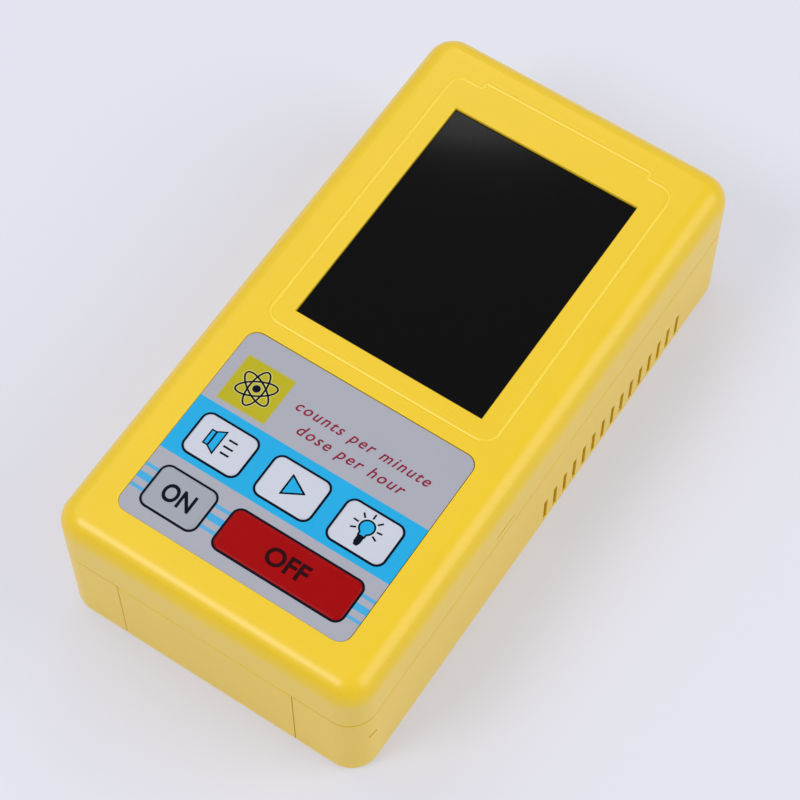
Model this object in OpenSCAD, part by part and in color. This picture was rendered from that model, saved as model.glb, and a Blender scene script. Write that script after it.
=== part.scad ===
// Handheld radiation counter: a two-part yellow case with a display window, a membrane keypad,
// a sliding battery door in the back and a detector tube behind a row of side vents.
// Millimetres. X is the width, +Y points to the display end, Z is up from the back face.
// The origin is the centre of the back face.

/* [Case] */
// Width of the case
case_w = 80; // [78:0.5:84]
// Length of the case
case_l = 155; // [153:0.5:160]
// Height of the case, back face to top face
case_h = 42; // [42:0.5:46]
// Radius of the four upright corners
corner_r = 6.8; // [6.2:0.1:7.5]
// Rounding of the edge round the top face
top_edge_r = 5.8; // [4:0.1:6]
// Rounding of the edge round the back face
base_edge_r = 2; // [1:0.1:2.2]
// Thickness of the side walls
wall = 2.2; // [2:0.1:2.4]
// Thickness of the top wall
top_wall = 2.6; // [2.4:0.1:2.8]
// Thickness of the back wall
floor_t = 2.2; // [2.2:0.1:2.4]
// Height of the parting line
split_z = 26; // [25.5:0.1:26.5]
// Width of the groove that shows at the parting line
seam_gap = 0.3; // [0.2:0.05:0.4]

/* [Display] */
// Width of the display window
window_w = 49; // [48:0.1:50]
// Length of the display window
window_l = 65; // [64:0.1:66]
// Middle of the window along Y
window_y = 25.9; // [25:0.1:27]
// Width of the raised line round the window
bead_w = 0.9; // [0.6:0.1:1.2]
// Height of the raised line
bead_h = 0.24; // [0.1:0.02:0.3]

/* [Keypad] */
// Width of the keypad label
label_w = 59.4; // [59:0.1:60]
// Length of the keypad label
label_l = 51.7; // [51:0.1:52]
// Middle of the label along Y
label_y = -41.4; // [-41.8:0.1:-41.2]
// Width of a single key
key_w = 14.8; // [14:0.1:15.2]
// Length of a single key
key_l = 11.3; // [10.8:0.1:11.6]
// Distance between key columns
key_pitch = 18.8; // [18.4:0.1:19]
// Travel of a key
key_travel = 0.3; // [0.2:0.05:0.3]

/* [Battery bay] */
// Width of the battery door
door_w = 45.6; // [45:0.1:46]
// Diameter of a cell
cell_d = 14.2; // [13.5:0.1:14.3]
// Length of a cell with its nub
cell_l = 50.3; // [49.5:0.1:50.5]
// Distance between neighbouring cells
cell_pitch = 15.4; // [15:0.1:15.4]

/* [Detector] */
// Diameter of the detector tube's end caps
tube_d = 10; // [9:0.1:10]
// Length of the detector tube
tube_l = 90; // [80:1:90]
// Number of vent slots beside the tube
vent_count = 15; // [9:2:15]
// Distance between vent slots
vent_pitch = 4.14; // [3.8:0.02:4.2]
// Width of a vent slot
vent_w = 1.35; // [1:0.05:1.6]

/* [Hidden] */
$fn = 64;

tiny = 0.01;             // overshoot of a cut past a face
fit_gap = 0.1;           // play between neighbouring mouldings
yellow = [0.95, 0.80, 0.16];
label_grey = [0.65, 0.66, 0.70];
key_white = [0.86, 0.87, 0.92];
key_red = [0.63, 0.06, 0.08];
board_green = [0.05, 0.30, 0.16];
steel = [0.75, 0.75, 0.77];
black = [0.06, 0.06, 0.07];

half_w = case_w / 2;
half_l = case_l / 2;
inner_r = corner_r - wall;
roof_z = case_h - top_wall;          // underside of the top wall
lip_t = 1;                           // tongue that rises from the lower shell into the upper one
lip_h = 1.5;

// label recess, from its floor upwards: circuit, spacer, printed overlay
circuit_z = roof_z + 1.2;
circuit_t = 0.25;
spacer_z = circuit_z + circuit_t;
spacer_t = 0.4;
overlay_z = spacer_z + spacer_t;
overlay_t = 0.6;
label_r = 3;
label_gap = 0.15;        // play round the label in its recess
key_r = 2.3;
key_plate_z = overlay_z + key_travel + 0.03;
key_rise = 0.2;          // keys stand this far above the case's top face
key_top_z = case_h + key_rise;
plunger_r = 2.2;
dome_r = 4.2;
dome_h = 0.35;
dome_hole_r = 4.8;
upper_row_y = -43.1;
lower_row_y = -58.4;

// raised line round the window, with a shallow tab at the display end
bead_half_w = 29.6;
bead_low_y = -11.3;
bead_high_y = 66.3;
bead_r = 3.3;
tab_half_w = 22.3;
tab_y = 68.2;

// display stack, from the glass downwards
glass_lip = 0.8;
glass_t = 1.2;
glass_margin = 1.8;
glass_z = case_h - glass_lip - glass_t;
bezel_top_z = glass_z - 0.7;
bezel_t = 0.3;
bezel_w = 51.6;
bezel_l = 70.2;
panel_board_t = 1.6;
display_board_z = 34;
bezel_z = display_board_z + panel_board_t;
display_board_w = 55;
display_board_l = 86;
display_post_x = 25;
display_post_y = 39.5;
display_post_r = 2.6;

// screws
screw_r = 1.2;
screw_head_r = 2.3;
screw_head_h = 1.8;
pilot_r = 1.25;
screw_hole_r = 1.4;
case_post_x = 33;
case_post_y = 70.5;
case_post_r = 3.4;
case_screw_r = 1.45;
case_screw_head_r = 2.8;
counterbore_r = 3.1;
counterbore_h = 16;

// two short slots in the right side: length, height, depth, then their middles
pry_slot = [2.6, 0.8, 1.6];      // low near the lower corner, for prising the case apart
pry_y = -71.9;
pry_z = 17;
catch_slot = [7, 0.5, 0.8];      // just above the parting line, over a snap catch
catch_y = -20.3;
catch_z = 29.4;

// battery bay
door_gap = 0.15;
door_t = 2;
door_lip_w = 1.5;
door_lip_z = 1.1;
door_lip_setback = 0.6;  // from the end face to the lips' outer ends
groove_count = 5;        // finger grooves across the door's back
groove_w = 18;
groove_l = 0.9;
groove_depth = 0.5;
groove_pitch = 2;
groove_inset = 9;        // from the end face to the first groove
pad_w = 40;              // foam pad that holds the cells
pad_l = 40;
pad_t = 0.9;
pad_low_y = -66;
bay_half_w = 24.6;
bay_wall = 1.2;
bay_low_y = -73.6;
bay_high_y = -16.6;
bay_roof_z = 18;
bay_roof_t = 1;
door_end_y = -14.2;
cell_z = 10.3;
contact_t = 0.4;
spring_l = bay_high_y - bay_low_y - 2 * contact_t - cell_l - fit_gap;

// main board and the tube under it
board_z = 20.4;
board_t = 1.6;
board_half_w = 35;
board_low_y = -24;
board_high_y = 66;
board_top = board_z + board_t;
board_post_r = 3;
board_post_x = 22;
board_post_low_y = -6;
board_post_high_y = 60;
tube_x = 31.8;
tube_z = 11.5;
tube_mid_y = 19;
vent_mid_y = 26.75;
vent_z = 3;
vent_h = 8.4;
tail_x = 0;
tail_y = -18.3;
tail_w = 12;
socket_y = 63;
pin_count = 14;
pin_pitch = 2.54;
header_w = 2.5;

// ---------- shared shapes ----------

// Rounded rectangle
module rounded_plan(w, l, r) {
    square([w - 2 * r, l], center = true);
    square([w, l - 2 * r], center = true);
    for (x = [-1, 1], y = [-1, 1])
        translate([x * (w / 2 - r), y * (l / 2 - r)]) circle(r);
}

module rounded_plate(w, l, r, z, h) {
    translate([0, 0, z]) linear_extrude(h) rounded_plan(w, l, r);
}

// Upright cross-section with its two upper corners rounded
module edge_profile(span, h, e) {
    translate([-span / 2, 0]) square([span, h - e]);
    translate([-span / 2 + e, 0]) square([span - 2 * e, h]);
    for (side = [-1, 1]) translate([side * (span / 2 - e), h - e]) circle(e);
}

// Half of the cross-section through an upright corner
module corner_profile(r, h, e) {
    square([r, h - e]);
    square([r - e, h]);
    intersection() {
        translate([r - e, h - e]) circle(e);
        translate([0, h - e]) square([r, e]);
    }
}

// Rounded slab standing on z = 0, with its upper edge rounded
module soft_slab(w, l, r, h, e) {
    rotate([90, 0, 0]) translate([0, 0, -(l / 2 - r)]) linear_extrude(l - 2 * r) edge_profile(w, h, e);
    rotate([90, 0, 90]) translate([0, 0, -(w / 2 - r)]) linear_extrude(w - 2 * r) edge_profile(l, h, e);
    for (turn = [0 : 3]) {
        x = (turn == 0 || turn == 3) ? 1 : -1;
        y = turn < 2 ? 1 : -1;
        translate([x * (w / 2 - r), y * (l / 2 - r), 0])
            rotate([0, 0, 90 * turn]) rotate_extrude(angle = 90) corner_profile(r, h, e);
    }
}

module pan_screw(x, y, z_head, head_r, head_h, shank_r, shank_l, up) {
    // the head sits at z_head; the shank goes up or down from it
    translate([x, y, z_head]) cylinder(r = head_r, h = head_h);
    translate([x, y, up ? z_head + head_h : z_head - shank_l]) cylinder(r = shank_r, h = shank_l);
}

// Ring of points round a coil's wire, and a wire swept along such rings
function coil_ring(turn_angle, radius, z, wire_r, sides) = [
    for (i = [0 : sides - 1]) let (a = 360 * i / sides)
        [(radius + wire_r * cos(a)) * cos(turn_angle), (radius + wire_r * cos(a)) * sin(turn_angle),
         z + wire_r * sin(a)]
];

module swept(rings) {
    sides = len(rings[0]);
    count = len(rings);
    points = [for (ring = rings) each ring];
    faces = concat(
        [[for (i = [0 : sides - 1]) i]],
        [[for (i = [sides - 1 : -1 : 0]) (count - 1) * sides + i]],
        [for (k = [0 : count - 2], i = [0 : sides - 1]) let (j = (i + 1) % sides)
            [k * sides + j, k * sides + i, (k + 1) * sides + i, (k + 1) * sides + j]]
    );
    polyhedron(points = points, faces = faces, convexity = 6);
}

// Upright rings round a route that runs mostly along Y
function unit(v) = v / norm(v);
function route_ring(route, k, wire_r, sides) =
    let (last = len(route) - 1,
         along = unit(route[min(k + 1, last)] - route[max(k - 1, 0)]),
         side = unit(cross(along, [0.05, -0.3, 1])),
         up = cross(side, along))
    [for (i = [0 : sides - 1]) let (a = 360 * i / sides)
        route[k] + wire_r * (cos(a) * side + sin(a) * up)];

// ---------- case ----------

module window_bead_plan(grow) {
    translate([0, (bead_low_y + bead_high_y) / 2])
        rounded_plan(2 * (bead_half_w + grow), bead_high_y - bead_low_y + 2 * grow, bead_r + grow);
    translate([-(tab_half_w + grow), 0]) square([2 * (tab_half_w + grow), tab_y + grow]);
}

module case_posts(z0, z1) {
    for (x = [-1, 1], y = [-1, 1])
        translate([x * case_post_x, y * case_post_y, z0]) cylinder(r = case_post_r, h = z1 - z0);
}

module display_posts(r, z0, z1) {
    for (x = [-1, 1], y = [-1, 1])
        translate([x * display_post_x, window_y + y * display_post_y, z0]) cylinder(r = r, h = z1 - z0);
}

module upper_shell() {
    low_z = split_z + seam_gap;
    color(yellow) difference() {
        union() {
            difference() {
                translate([0, 0, low_z])
                    soft_slab(case_w, case_l, corner_r, case_h - low_z, top_edge_r);
                rounded_plate(case_w - 2 * wall, case_l - 2 * wall, inner_r, low_z - 1, roof_z - low_z + 1);
                // rebate for the lower shell's tongue
                rounded_plate(case_w - 2 * wall + 2 * (lip_t + fit_gap),
                              case_l - 2 * wall + 2 * (lip_t + fit_gap), inner_r + lip_t + fit_gap,
                              low_z - 1, split_z + lip_h + fit_gap - low_z + 1);
            }
            case_posts(split_z, roof_z + tiny);
            display_posts(display_post_r, bezel_z, roof_z + tiny);
            translate([0, 0, case_h - tiny]) linear_extrude(bead_h + tiny) difference() {
                window_bead_plan(bead_w / 2);
                window_bead_plan(-bead_w / 2);
            }
        }
        translate([0, window_y, 0]) {
            translate([-window_w / 2, -window_l / 2, roof_z - 1]) cube([window_w, window_l, top_wall + 2]);
            translate([-(window_w / 2 + glass_margin + fit_gap), -(window_l / 2 + glass_margin + fit_gap),
                       roof_z - 1])
                cube([window_w + 2 * (glass_margin + fit_gap), window_l + 2 * (glass_margin + fit_gap),
                      case_h - glass_lip - roof_z + 1]);
        }
        translate([0, label_y, 0])
            rounded_plate(label_w + 2 * label_gap, label_l + 2 * label_gap, label_r + label_gap,
                          circuit_z, top_wall);
        translate([tail_x - tail_w / 2 - 0.5, tail_y - 0.7, roof_z - 1]) cube([tail_w + 1, 1.4, top_wall]);
        for (x = [-1, 1], y = [-1, 1])
            translate([x * case_post_x, y * case_post_y, split_z - 1])
                cylinder(r = case_screw_r + 0.05, h = 11);
        display_posts(pilot_r, bezel_z - 1, roof_z - 0.2);
        side_slot(catch_y, catch_z, catch_slot);
    }
}

module door_opening() {
    // back and end wall, with wider grooves for the door's slide lips
    opening_w = door_w + 2 * door_gap;
    lip_w = opening_w + 2 * door_lip_w;
    translate([-opening_w / 2, -half_l - 1, -1])
        cube([opening_w, half_l + 1 + door_end_y + door_gap, door_lip_z + 1]);
    translate([-opening_w / 2, -half_l - 1, -1]) cube([opening_w, wall + 1.5, split_z + lip_h + 2]);
    translate([-lip_w / 2, -half_l - 1, door_lip_z - fit_gap])
        cube([lip_w, half_l + 1 + door_end_y + door_gap, floor_t - door_lip_z + fit_gap + tiny]);
}

module vents() {
    for (i = [0 : vent_count - 1]) {
        slot_y = vent_mid_y + (i - (vent_count - 1) / 2) * vent_pitch;
        translate([half_w - wall - 1, slot_y - vent_w / 2, vent_z]) cube([wall + 2, vent_w, vent_h]);
    }
}

// Short slot with round ends in the right side; size is its length, height and depth
module side_slot(y, z, size) {
    flat_l = size[0] - size[1];
    translate([half_w - size[2], y, z]) {
        translate([0, -flat_l / 2, -size[1] / 2]) cube([size[2] + 1, flat_l, size[1]]);
        for (side = [-1, 1]) translate([0, side * flat_l / 2, 0]) rotate([0, 90, 0])
            cylinder(r = size[1] / 2, h = size[2] + 1);
    }
}

module battery_bay_walls() {
    top = bay_roof_z + bay_roof_t;
    bay_l = bay_high_y - bay_low_y;
    for (side = [-1, 1])
        translate([side * (bay_half_w + bay_wall / 2) - bay_wall / 2, bay_low_y - bay_wall, floor_t - tiny])
            cube([bay_wall, bay_l + 2 * bay_wall, top - floor_t + tiny]);
    // inner end wall, roof, and the tall wall behind the battery door
    translate([-bay_half_w - tiny, bay_high_y, floor_t + fit_gap])
        cube([2 * (bay_half_w + tiny), bay_wall, top - floor_t - fit_gap]);
    translate([-bay_half_w - tiny, bay_low_y - tiny, bay_roof_z])
        cube([2 * (bay_half_w + tiny), bay_l + 2 * tiny, bay_roof_t]);
    translate([-bay_half_w - bay_wall, bay_low_y - bay_wall, floor_t + 0.8])
        cube([2 * (bay_half_w + bay_wall), bay_wall, split_z + lip_h - floor_t - 0.8]);
}

module lower_shell() {
    color(yellow) difference() {
        union() {
            difference() {
                union() {
                    translate([0, 0, split_z]) mirror([0, 0, 1])
                        soft_slab(case_w, case_l, corner_r, split_z, base_edge_r);
                    rounded_plate(case_w - 2 * wall + 2 * lip_t, case_l - 2 * wall + 2 * lip_t,
                                  inner_r + lip_t, split_z - 1, lip_h + 1);
                }
                rounded_plate(case_w - 2 * wall, case_l - 2 * wall, inner_r, floor_t, split_z);
                door_opening();
                vents();
            }
            case_posts(floor_t - tiny, split_z);
            for (x = [-1, 1], y = [board_post_low_y, board_post_high_y])
                translate([x * board_post_x, y, floor_t - tiny])
                    cylinder(r = board_post_r, h = board_z - floor_t + tiny);
            battery_bay_walls();
        }
        for (x = [-1, 1], y = [-1, 1]) translate([x * case_post_x, y * case_post_y, 0]) {
            translate([0, 0, -1]) cylinder(r = counterbore_r, h = counterbore_h + 1);
            translate([0, 0, -1]) cylinder(r = case_screw_r + 0.15, h = split_z + 2);
        }
        for (x = [-1, 1], y = [board_post_low_y, board_post_high_y])
            translate([x * board_post_x, y, board_z - 9]) cylinder(r = pilot_r, h = 10);
        // slots in the bay roof for the contact tabs
        translate([cell_pitch - 2.5, bay_low_y - tiny, bay_roof_z - 1]) cube([5, 0.8, 3]);
        translate([-cell_pitch - 2.5, bay_high_y - 0.8, bay_roof_z - 1]) cube([5, 0.8 + tiny, 3]);
        side_slot(pry_y, pry_z, pry_slot);
    }
}

module battery_door() {
    color(yellow) difference() {
        union() {
            // L-shaped side profile with a rounded outer corner, extruded across the door
            rotate([90, 0, 90]) translate([0, 0, -door_w / 2]) linear_extrude(door_w) {
                translate([-half_l + base_edge_r, 0]) square([half_l - base_edge_r + door_end_y, door_t]);
                translate([-half_l, base_edge_r]) square([wall, split_z - base_edge_r - fit_gap]);
                intersection() {
                    translate([-half_l + base_edge_r, base_edge_r]) circle(base_edge_r);
                    translate([-half_l, 0]) square(base_edge_r);
                }
            }
            translate([-door_w / 2 - door_lip_w, -half_l + door_lip_setback, door_lip_z])
                cube([door_w + 2 * door_lip_w, half_l - door_lip_setback + door_end_y, door_t - door_lip_z]);
        }
        for (i = [0 : groove_count - 1])
            translate([-groove_w / 2, -half_l + groove_inset + groove_pitch * i, groove_depth - 2])
                cube([groove_w, groove_l, 2]);
    }
}

module door_pad() {
    color([0.12, 0.12, 0.13]) translate([-pad_w / 2, pad_low_y, door_t]) cube([pad_w, pad_l, pad_t]);
}

// ---------- display ----------

module display_glass() {
    w = window_w + 2 * glass_margin;
    l = window_l + 2 * glass_margin;
    color([0.1, 0.1, 0.12, 0.5]) translate([-w / 2, window_y - l / 2, glass_z]) cube([w, l, glass_t]);
}

module display_gasket() {
    color(black) translate([0, window_y, bezel_top_z]) linear_extrude(glass_z - bezel_top_z) difference() {
        square([bezel_w - 0.6, bezel_l - 2.4], center = true);
        square([window_w + 0.6, window_l + 0.6], center = true);
    }
}

module display_panel() {
    w = bezel_w - 2 * bezel_t;
    l = bezel_l - 2 * bezel_t;
    color(black) translate([-w / 2, window_y - l / 2, bezel_z])
        cube([w, l, bezel_top_z - bezel_t - bezel_z]);
}

module display_bezel() {
    color(steel) difference() {
        translate([-bezel_w / 2, window_y - bezel_l / 2, bezel_z])
            cube([bezel_w, bezel_l, bezel_top_z - bezel_z]);
        translate([-bezel_w / 2 + bezel_t, window_y - bezel_l / 2 + bezel_t, bezel_z - 1])
            cube([bezel_w - 2 * bezel_t, bezel_l - 2 * bezel_t, bezel_top_z - bezel_t - bezel_z + 1]);
        translate([-window_w / 2 - 0.3, window_y - window_l / 2 - 0.3, bezel_z])
            cube([window_w + 0.6, window_l + 0.6, bezel_top_z]);
    }
}

module display_board() {
    color([0.5, 0.06, 0.06]) difference() {
        translate([-display_board_w / 2, window_y - display_board_l / 2, display_board_z])
            cube([display_board_w, display_board_l, panel_board_t]);
        display_posts(screw_hole_r, display_board_z - 1, bezel_z + 1);
    }
}

module display_driver() {
    color(black) {
        translate([-6, 10, display_board_z - 1.2]) cube([12, 8, 1.2]);
        translate([8, 30, display_board_z - 1]) cube([5, 6, 1]);
        translate([-16, 32, display_board_z - 1.8]) cube([6.5, 3.5, 1.8]);
    }
}

module display_header() {
    w = pin_count * pin_pitch;
    color(black) translate([-w / 2, socket_y - header_w / 2, display_board_z - header_w])
        cube([w, header_w, header_w]);
}

module each_pin() {
    for (i = [0 : pin_count - 1])
        translate([(i - (pin_count - 1) / 2) * pin_pitch, socket_y, 0]) children();
}

module header_pins() {
    bottom = board_top + 3;
    color([0.85, 0.68, 0.25]) each_pin()
        translate([-0.32, -0.32, bottom]) cube([0.64, 0.64, display_board_z - header_w - bottom]);
}

module header_socket() {
    w = pin_count * pin_pitch;
    color(black) difference() {
        translate([-w / 2, socket_y - header_w / 2, board_top]) cube([w, header_w, 8.4]);
        each_pin() translate([-0.45, -0.45, board_top + 2]) cube([0.9, 0.9, 8]);
    }
}

module display_screws() {
    color(steel) for (x = [-1, 1], y = [-1, 1])
        pan_screw(x * display_post_x, window_y + y * display_post_y, display_board_z - screw_head_h,
                  screw_head_r, screw_head_h, screw_r, 4.6, true);
}

// ---------- keypad ----------

module key_places() {
    // the first child goes at each single key, the second at the wide key
    translate([-key_pitch, upper_row_y, 0]) children(0);
    translate([0, upper_row_y, 0]) children(0);
    translate([key_pitch, upper_row_y, 0]) children(0);
    translate([-key_pitch, lower_row_y, 0]) children(0);
    translate([key_pitch / 2, lower_row_y, 0]) children(1);
}

module dome_places() {
    for (x = [-key_pitch, 0, key_pitch]) translate([x, upper_row_y, 0]) children();
    for (x = [-key_pitch, key_pitch / 2]) translate([x, lower_row_y, 0]) children();
}

module keypad_overlay() {
    color(label_grey) difference() {
        translate([0, label_y, 0]) rounded_plate(label_w, label_l, label_r, overlay_z, overlay_t);
        key_places() {
            rounded_plate(key_w + 2 * fit_gap, key_l + 2 * fit_gap, key_r + fit_gap, overlay_z - 1, 3);
            rounded_plate(key_w + key_pitch + 2 * fit_gap, key_l + 2 * fit_gap, key_r + fit_gap,
                          overlay_z - 1, 3);
        }
    }
}

module keypad_spacer() {
    color([0.8, 0.8, 0.78]) difference() {
        translate([0, label_y, 0]) rounded_plate(label_w, label_l, label_r, spacer_z, spacer_t);
        dome_places() translate([0, 0, spacer_z - 1]) cylinder(r = dome_hole_r, h = 3);
    }
}

module keypad_circuit() {
    color([0.85, 0.82, 0.70]) translate([0, label_y, 0])
        rounded_plate(label_w, label_l, label_r, circuit_z, circuit_t);
}

module keypad_tail() {
    bottom = board_top + 1.2;
    color([0.85, 0.82, 0.70]) translate([tail_x - tail_w / 2, tail_y - 0.08, bottom])
        cube([tail_w, 0.16, circuit_z - bottom]);
}

module tail_connector() {
    color([0.9, 0.88, 0.82]) difference() {
        translate([tail_x - tail_w / 2 - 2, tail_y - 1.6, board_top]) cube([tail_w + 4, 3.2, 2.8]);
        translate([tail_x - tail_w / 2 - 0.2, tail_y - 0.25, board_top + 0.9]) cube([tail_w + 0.4, 0.5, 3]);
    }
}

module key_plate(w) {
    rounded_plate(w, key_l, key_r, key_plate_z, key_top_z - key_plate_z);
    translate([0, 0, overlay_z + 0.01]) cylinder(r = plunger_r, h = key_plate_z - overlay_z);
}

module key_sound() { color(key_white) translate([-key_pitch, upper_row_y, 0]) key_plate(key_w); }
module key_play() { color(key_white) translate([0, upper_row_y, 0]) key_plate(key_w); }
module key_light() { color(key_white) translate([key_pitch, upper_row_y, 0]) key_plate(key_w); }
module key_on() { color(label_grey) translate([-key_pitch, lower_row_y, 0]) key_plate(key_w); }
module key_off() {
    color(key_red) translate([key_pitch / 2, lower_row_y, 0]) key_plate(key_w + key_pitch);
}

// Thin metal snap dome: a shallow bowl, upside down
module snap_dome() {
    thick = 0.08;
    steps = 8;
    low = [for (i = [0 : steps]) [dome_r * i / steps, (dome_h - thick) * (1 - pow(i / steps, 2))]];
    high = [for (i = [steps : -1 : 0]) [low[i][0], low[i][1] + thick]];
    translate([0, 0, spacer_z]) rotate_extrude() polygon(concat(low, high));
}

module dome_sound() { color(steel) translate([-key_pitch, upper_row_y, 0]) snap_dome(); }
module dome_play() { color(steel) translate([0, upper_row_y, 0]) snap_dome(); }
module dome_light() { color(steel) translate([key_pitch, upper_row_y, 0]) snap_dome(); }
module dome_on() { color(steel) translate([-key_pitch, lower_row_y, 0]) snap_dome(); }
module dome_off() { color(steel) translate([key_pitch / 2, lower_row_y, 0]) snap_dome(); }

// ---------- electronics ----------

module main_board() {
    color(board_green) difference() {
        translate([-board_half_w, board_low_y, board_z])
            cube([2 * board_half_w, board_high_y - board_low_y, board_t]);
        for (x = [-1, 1], y = [board_post_low_y, board_post_high_y])
            translate([x * board_post_x, y, board_z - 1]) cylinder(r = screw_hole_r, h = 4);
    }
}

module board_screws() {
    color(steel) for (x = [-1, 1], y = [board_post_low_y, board_post_high_y])
        pan_screw(x * board_post_x, y, board_top, screw_head_r, screw_head_h, screw_r, 9, false);
}

module microcontroller() {
    body = 10;
    legs = 8;
    color(black) translate([-10, 20, board_top + 0.1]) {
        translate([-body / 2, -body / 2, 0]) cube([body, body, 1.4]);
        for (side = [0 : 3], i = [0 : legs - 1]) rotate([0, 0, 90 * side])
            translate([body / 2 - tiny, (i - (legs - 1) / 2) * 1.1 - 0.2, 0]) cube([1, 0.4, 0.5]);
    }
}

module hv_inductor() {
    color([0.16, 0.15, 0.15]) translate([-24, 44, board_top]) {
        cylinder(r = 5, h = 1);
        cylinder(r = 3.6, h = 6);
        translate([0, 0, 5]) cylinder(r = 5, h = 1);
    }
}

module hv_capacitor() {
    color([0.1, 0.12, 0.35]) {
        translate([-25, 30, board_top]) cylinder(r = 4, h = 9);
        translate([20, 44, board_top]) cylinder(r = 4, h = 9);
    }
}

module smd_parts() {
    color([0.55, 0.42, 0.28]) {
        for (i = [0 : 3], j = [0 : 2])
            translate([4 + 3.4 * i, 8 + 5 * j, board_top]) cube([2, 1.25, 0.7]);
        for (i = [0 : 3]) translate([-30 + 3 * i, 4, board_top]) cube([1.6, 3.2, 1]);
    }
}

module buzzer() {
    color(black) translate([22, 22, board_top]) difference() {
        cylinder(r = 6, h = 8.5);
        translate([0, 0, 6]) cylinder(r = 1, h = 5);
    }
}

// ---------- detector tube ----------

module along_tube(y0, y1) {
    translate([tube_x, y1, tube_z]) rotate([90, 0, 0]) linear_extrude(y1 - y0) children();
}

tube_low_y = tube_mid_y - tube_l / 2;
tube_high_y = tube_mid_y + tube_l / 2;
cap_l = 9;
tube_glass_r = tube_d / 2 - 0.35;

module detector_glass() {
    color([0.75, 0.8, 0.85, 0.5]) along_tube(tube_low_y + 1, tube_high_y - 1) difference() {
        circle(tube_glass_r);
        circle(tube_glass_r - 0.6);
    }
}

module detector_cathode() {
    color([0.45, 0.42, 0.38]) along_tube(tube_low_y + cap_l + 2, tube_high_y - cap_l - 2) difference() {
        circle(tube_glass_r - 0.7);
        circle(tube_glass_r - 0.95);
    }
}

module detector_anode() {
    color(steel) along_tube(tube_low_y + 0.8, tube_high_y - 0.8) circle(0.3);
}

module detector_caps() {
    color(steel) for (end = [0, 1]) {
        y0 = end == 0 ? tube_low_y : tube_high_y - cap_l;
        inside_y0 = end == 0 ? tube_low_y + 0.8 : tube_high_y - cap_l - 1;
        inside_y1 = end == 0 ? tube_low_y + cap_l + 1 : tube_high_y - 0.8;
        difference() {
            along_tube(y0, y0 + cap_l) circle(tube_d / 2);
            along_tube(inside_y0, inside_y1) circle(tube_glass_r + 0.05);
        }
    }
}

module detector_clips() {
    clip_l = 4;
    inner = tube_d / 2 + 0.05;
    outer = inner + 0.65;
    color([0.80, 0.72, 0.45]) for (y = [tube_low_y + 2.5, tube_high_y - 2.5 - clip_l])
        along_tube(y, y + clip_l) difference() {
            union() {
                circle(outer);
                translate([-2, 0]) square([4, board_z - tube_z]);
            }
            circle(inner);
            // the fork is open at the bottom
            polygon([[0, 0], [-outer, -outer * 1.4], [outer, -outer * 1.4]]);
        }
}

// ---------- battery ----------

// Cell along Y; its nub points to the display end or, turned, to the door
module cell(x, turned) {
    nub_l = 1.3;
    nub_r = 2.75;
    low = bay_low_y + contact_t + fit_gap / 2 + (turned ? 0 : spring_l);
    translate([x, low + (turned ? cell_l : 0), cell_z]) rotate([turned ? 90 : -90, 0, 0]) {
        difference() {
            cylinder(r = cell_d / 2, h = cell_l - nub_l);
            // shallow crimp ring near the nub end
            translate([0, 0, cell_l - nub_l - 0.5]) difference() {
                cylinder(r = cell_d / 2 - 0.8, h = 2);
                cylinder(r = nub_r + 0.8, h = 2);
            }
        }
        translate([0, 0, cell_l - nub_l - tiny]) cylinder(r = nub_r, h = nub_l + tiny);
    }
}

module battery_cell_left() { color([0.1, 0.1, 0.12]) cell(-cell_pitch, false); }
module battery_cell_middle() { color([0.1, 0.1, 0.12]) cell(0, true); }
module battery_cell_right() { color([0.1, 0.1, 0.12]) cell(cell_pitch, false); }

module contact_plate(x0, x1, y) {
    translate([x0, y, cell_z - 5]) cube([x1 - x0, contact_t, 10]);
}

module flat_contacts() {
    // one plate behind each pair of joined cells, and a single one at either end of the chain
    far = bay_high_y - contact_t;
    color([0.82, 0.80, 0.74]) {
        contact_plate(-cell_pitch - 5, -cell_pitch + 5, far);
        translate([-cell_pitch - 2, far, cell_z + 4]) cube([4, contact_t, board_z - cell_z - 4]);
        contact_plate(-5, cell_pitch + 5, far);
        contact_plate(-cell_pitch - 5, 5, bay_low_y);
        contact_plate(cell_pitch - 5, cell_pitch + 5, bay_low_y);
        translate([cell_pitch - 2, bay_low_y, cell_z + 4])
            cube([4, contact_t, bay_roof_z + bay_roof_t + 1 - cell_z - 4]);
    }
}

module cell_spring() {
    wire_r = 0.35;
    turns = 4;
    steps = 14;
    height = spring_l - 2 * wire_r - 0.2;
    swept([for (k = [0 : turns * steps])
        let (part = k / (turns * steps))
            coil_ring(360 * k / steps, 4 - 1.6 * part, wire_r + height * part, wire_r, 6)]);
}

module spring_contacts() {
    color([0.82, 0.80, 0.74]) {
        for (x = [-cell_pitch, cell_pitch])
            translate([x, bay_low_y + contact_t + 0.05, cell_z]) rotate([-90, 0, 0]) cell_spring();
        translate([0, bay_high_y - contact_t - 0.05, cell_z]) rotate([90, 0, 0]) cell_spring();
    }
}

// Lead from the last cell's tab, over the bay roof, up to the main board
lead_route = [
    [15.4, -73.1, 19.6], [15.3, -70, 19.6], [14.8, -66, 19.6], [13.6, -60, 19.6], [12.0, -54, 19.6],
    [10.6, -48, 19.6], [9.8, -42, 19.6], [9.6, -36, 19.7], [9.8, -31, 20.1], [10.1, -28, 21.0],
    [10.4, -26, 22.3], [10.8, -24, 23.3], [11.2, -22, 23.2], [11.4, -20.8, 22.7]
];
lead_r = 0.5;

module battery_lead() {
    color(black) swept([for (k = [0 : len(lead_route) - 1]) route_ring(lead_route, k, lead_r, 8)]);
}

module case_screws() {
    color(steel) for (x = [-1, 1], y = [-1, 1])
        pan_screw(x * case_post_x, y * case_post_y, counterbore_h - 2, case_screw_head_r, 2,
                  case_screw_r, 20, true);
}

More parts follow.
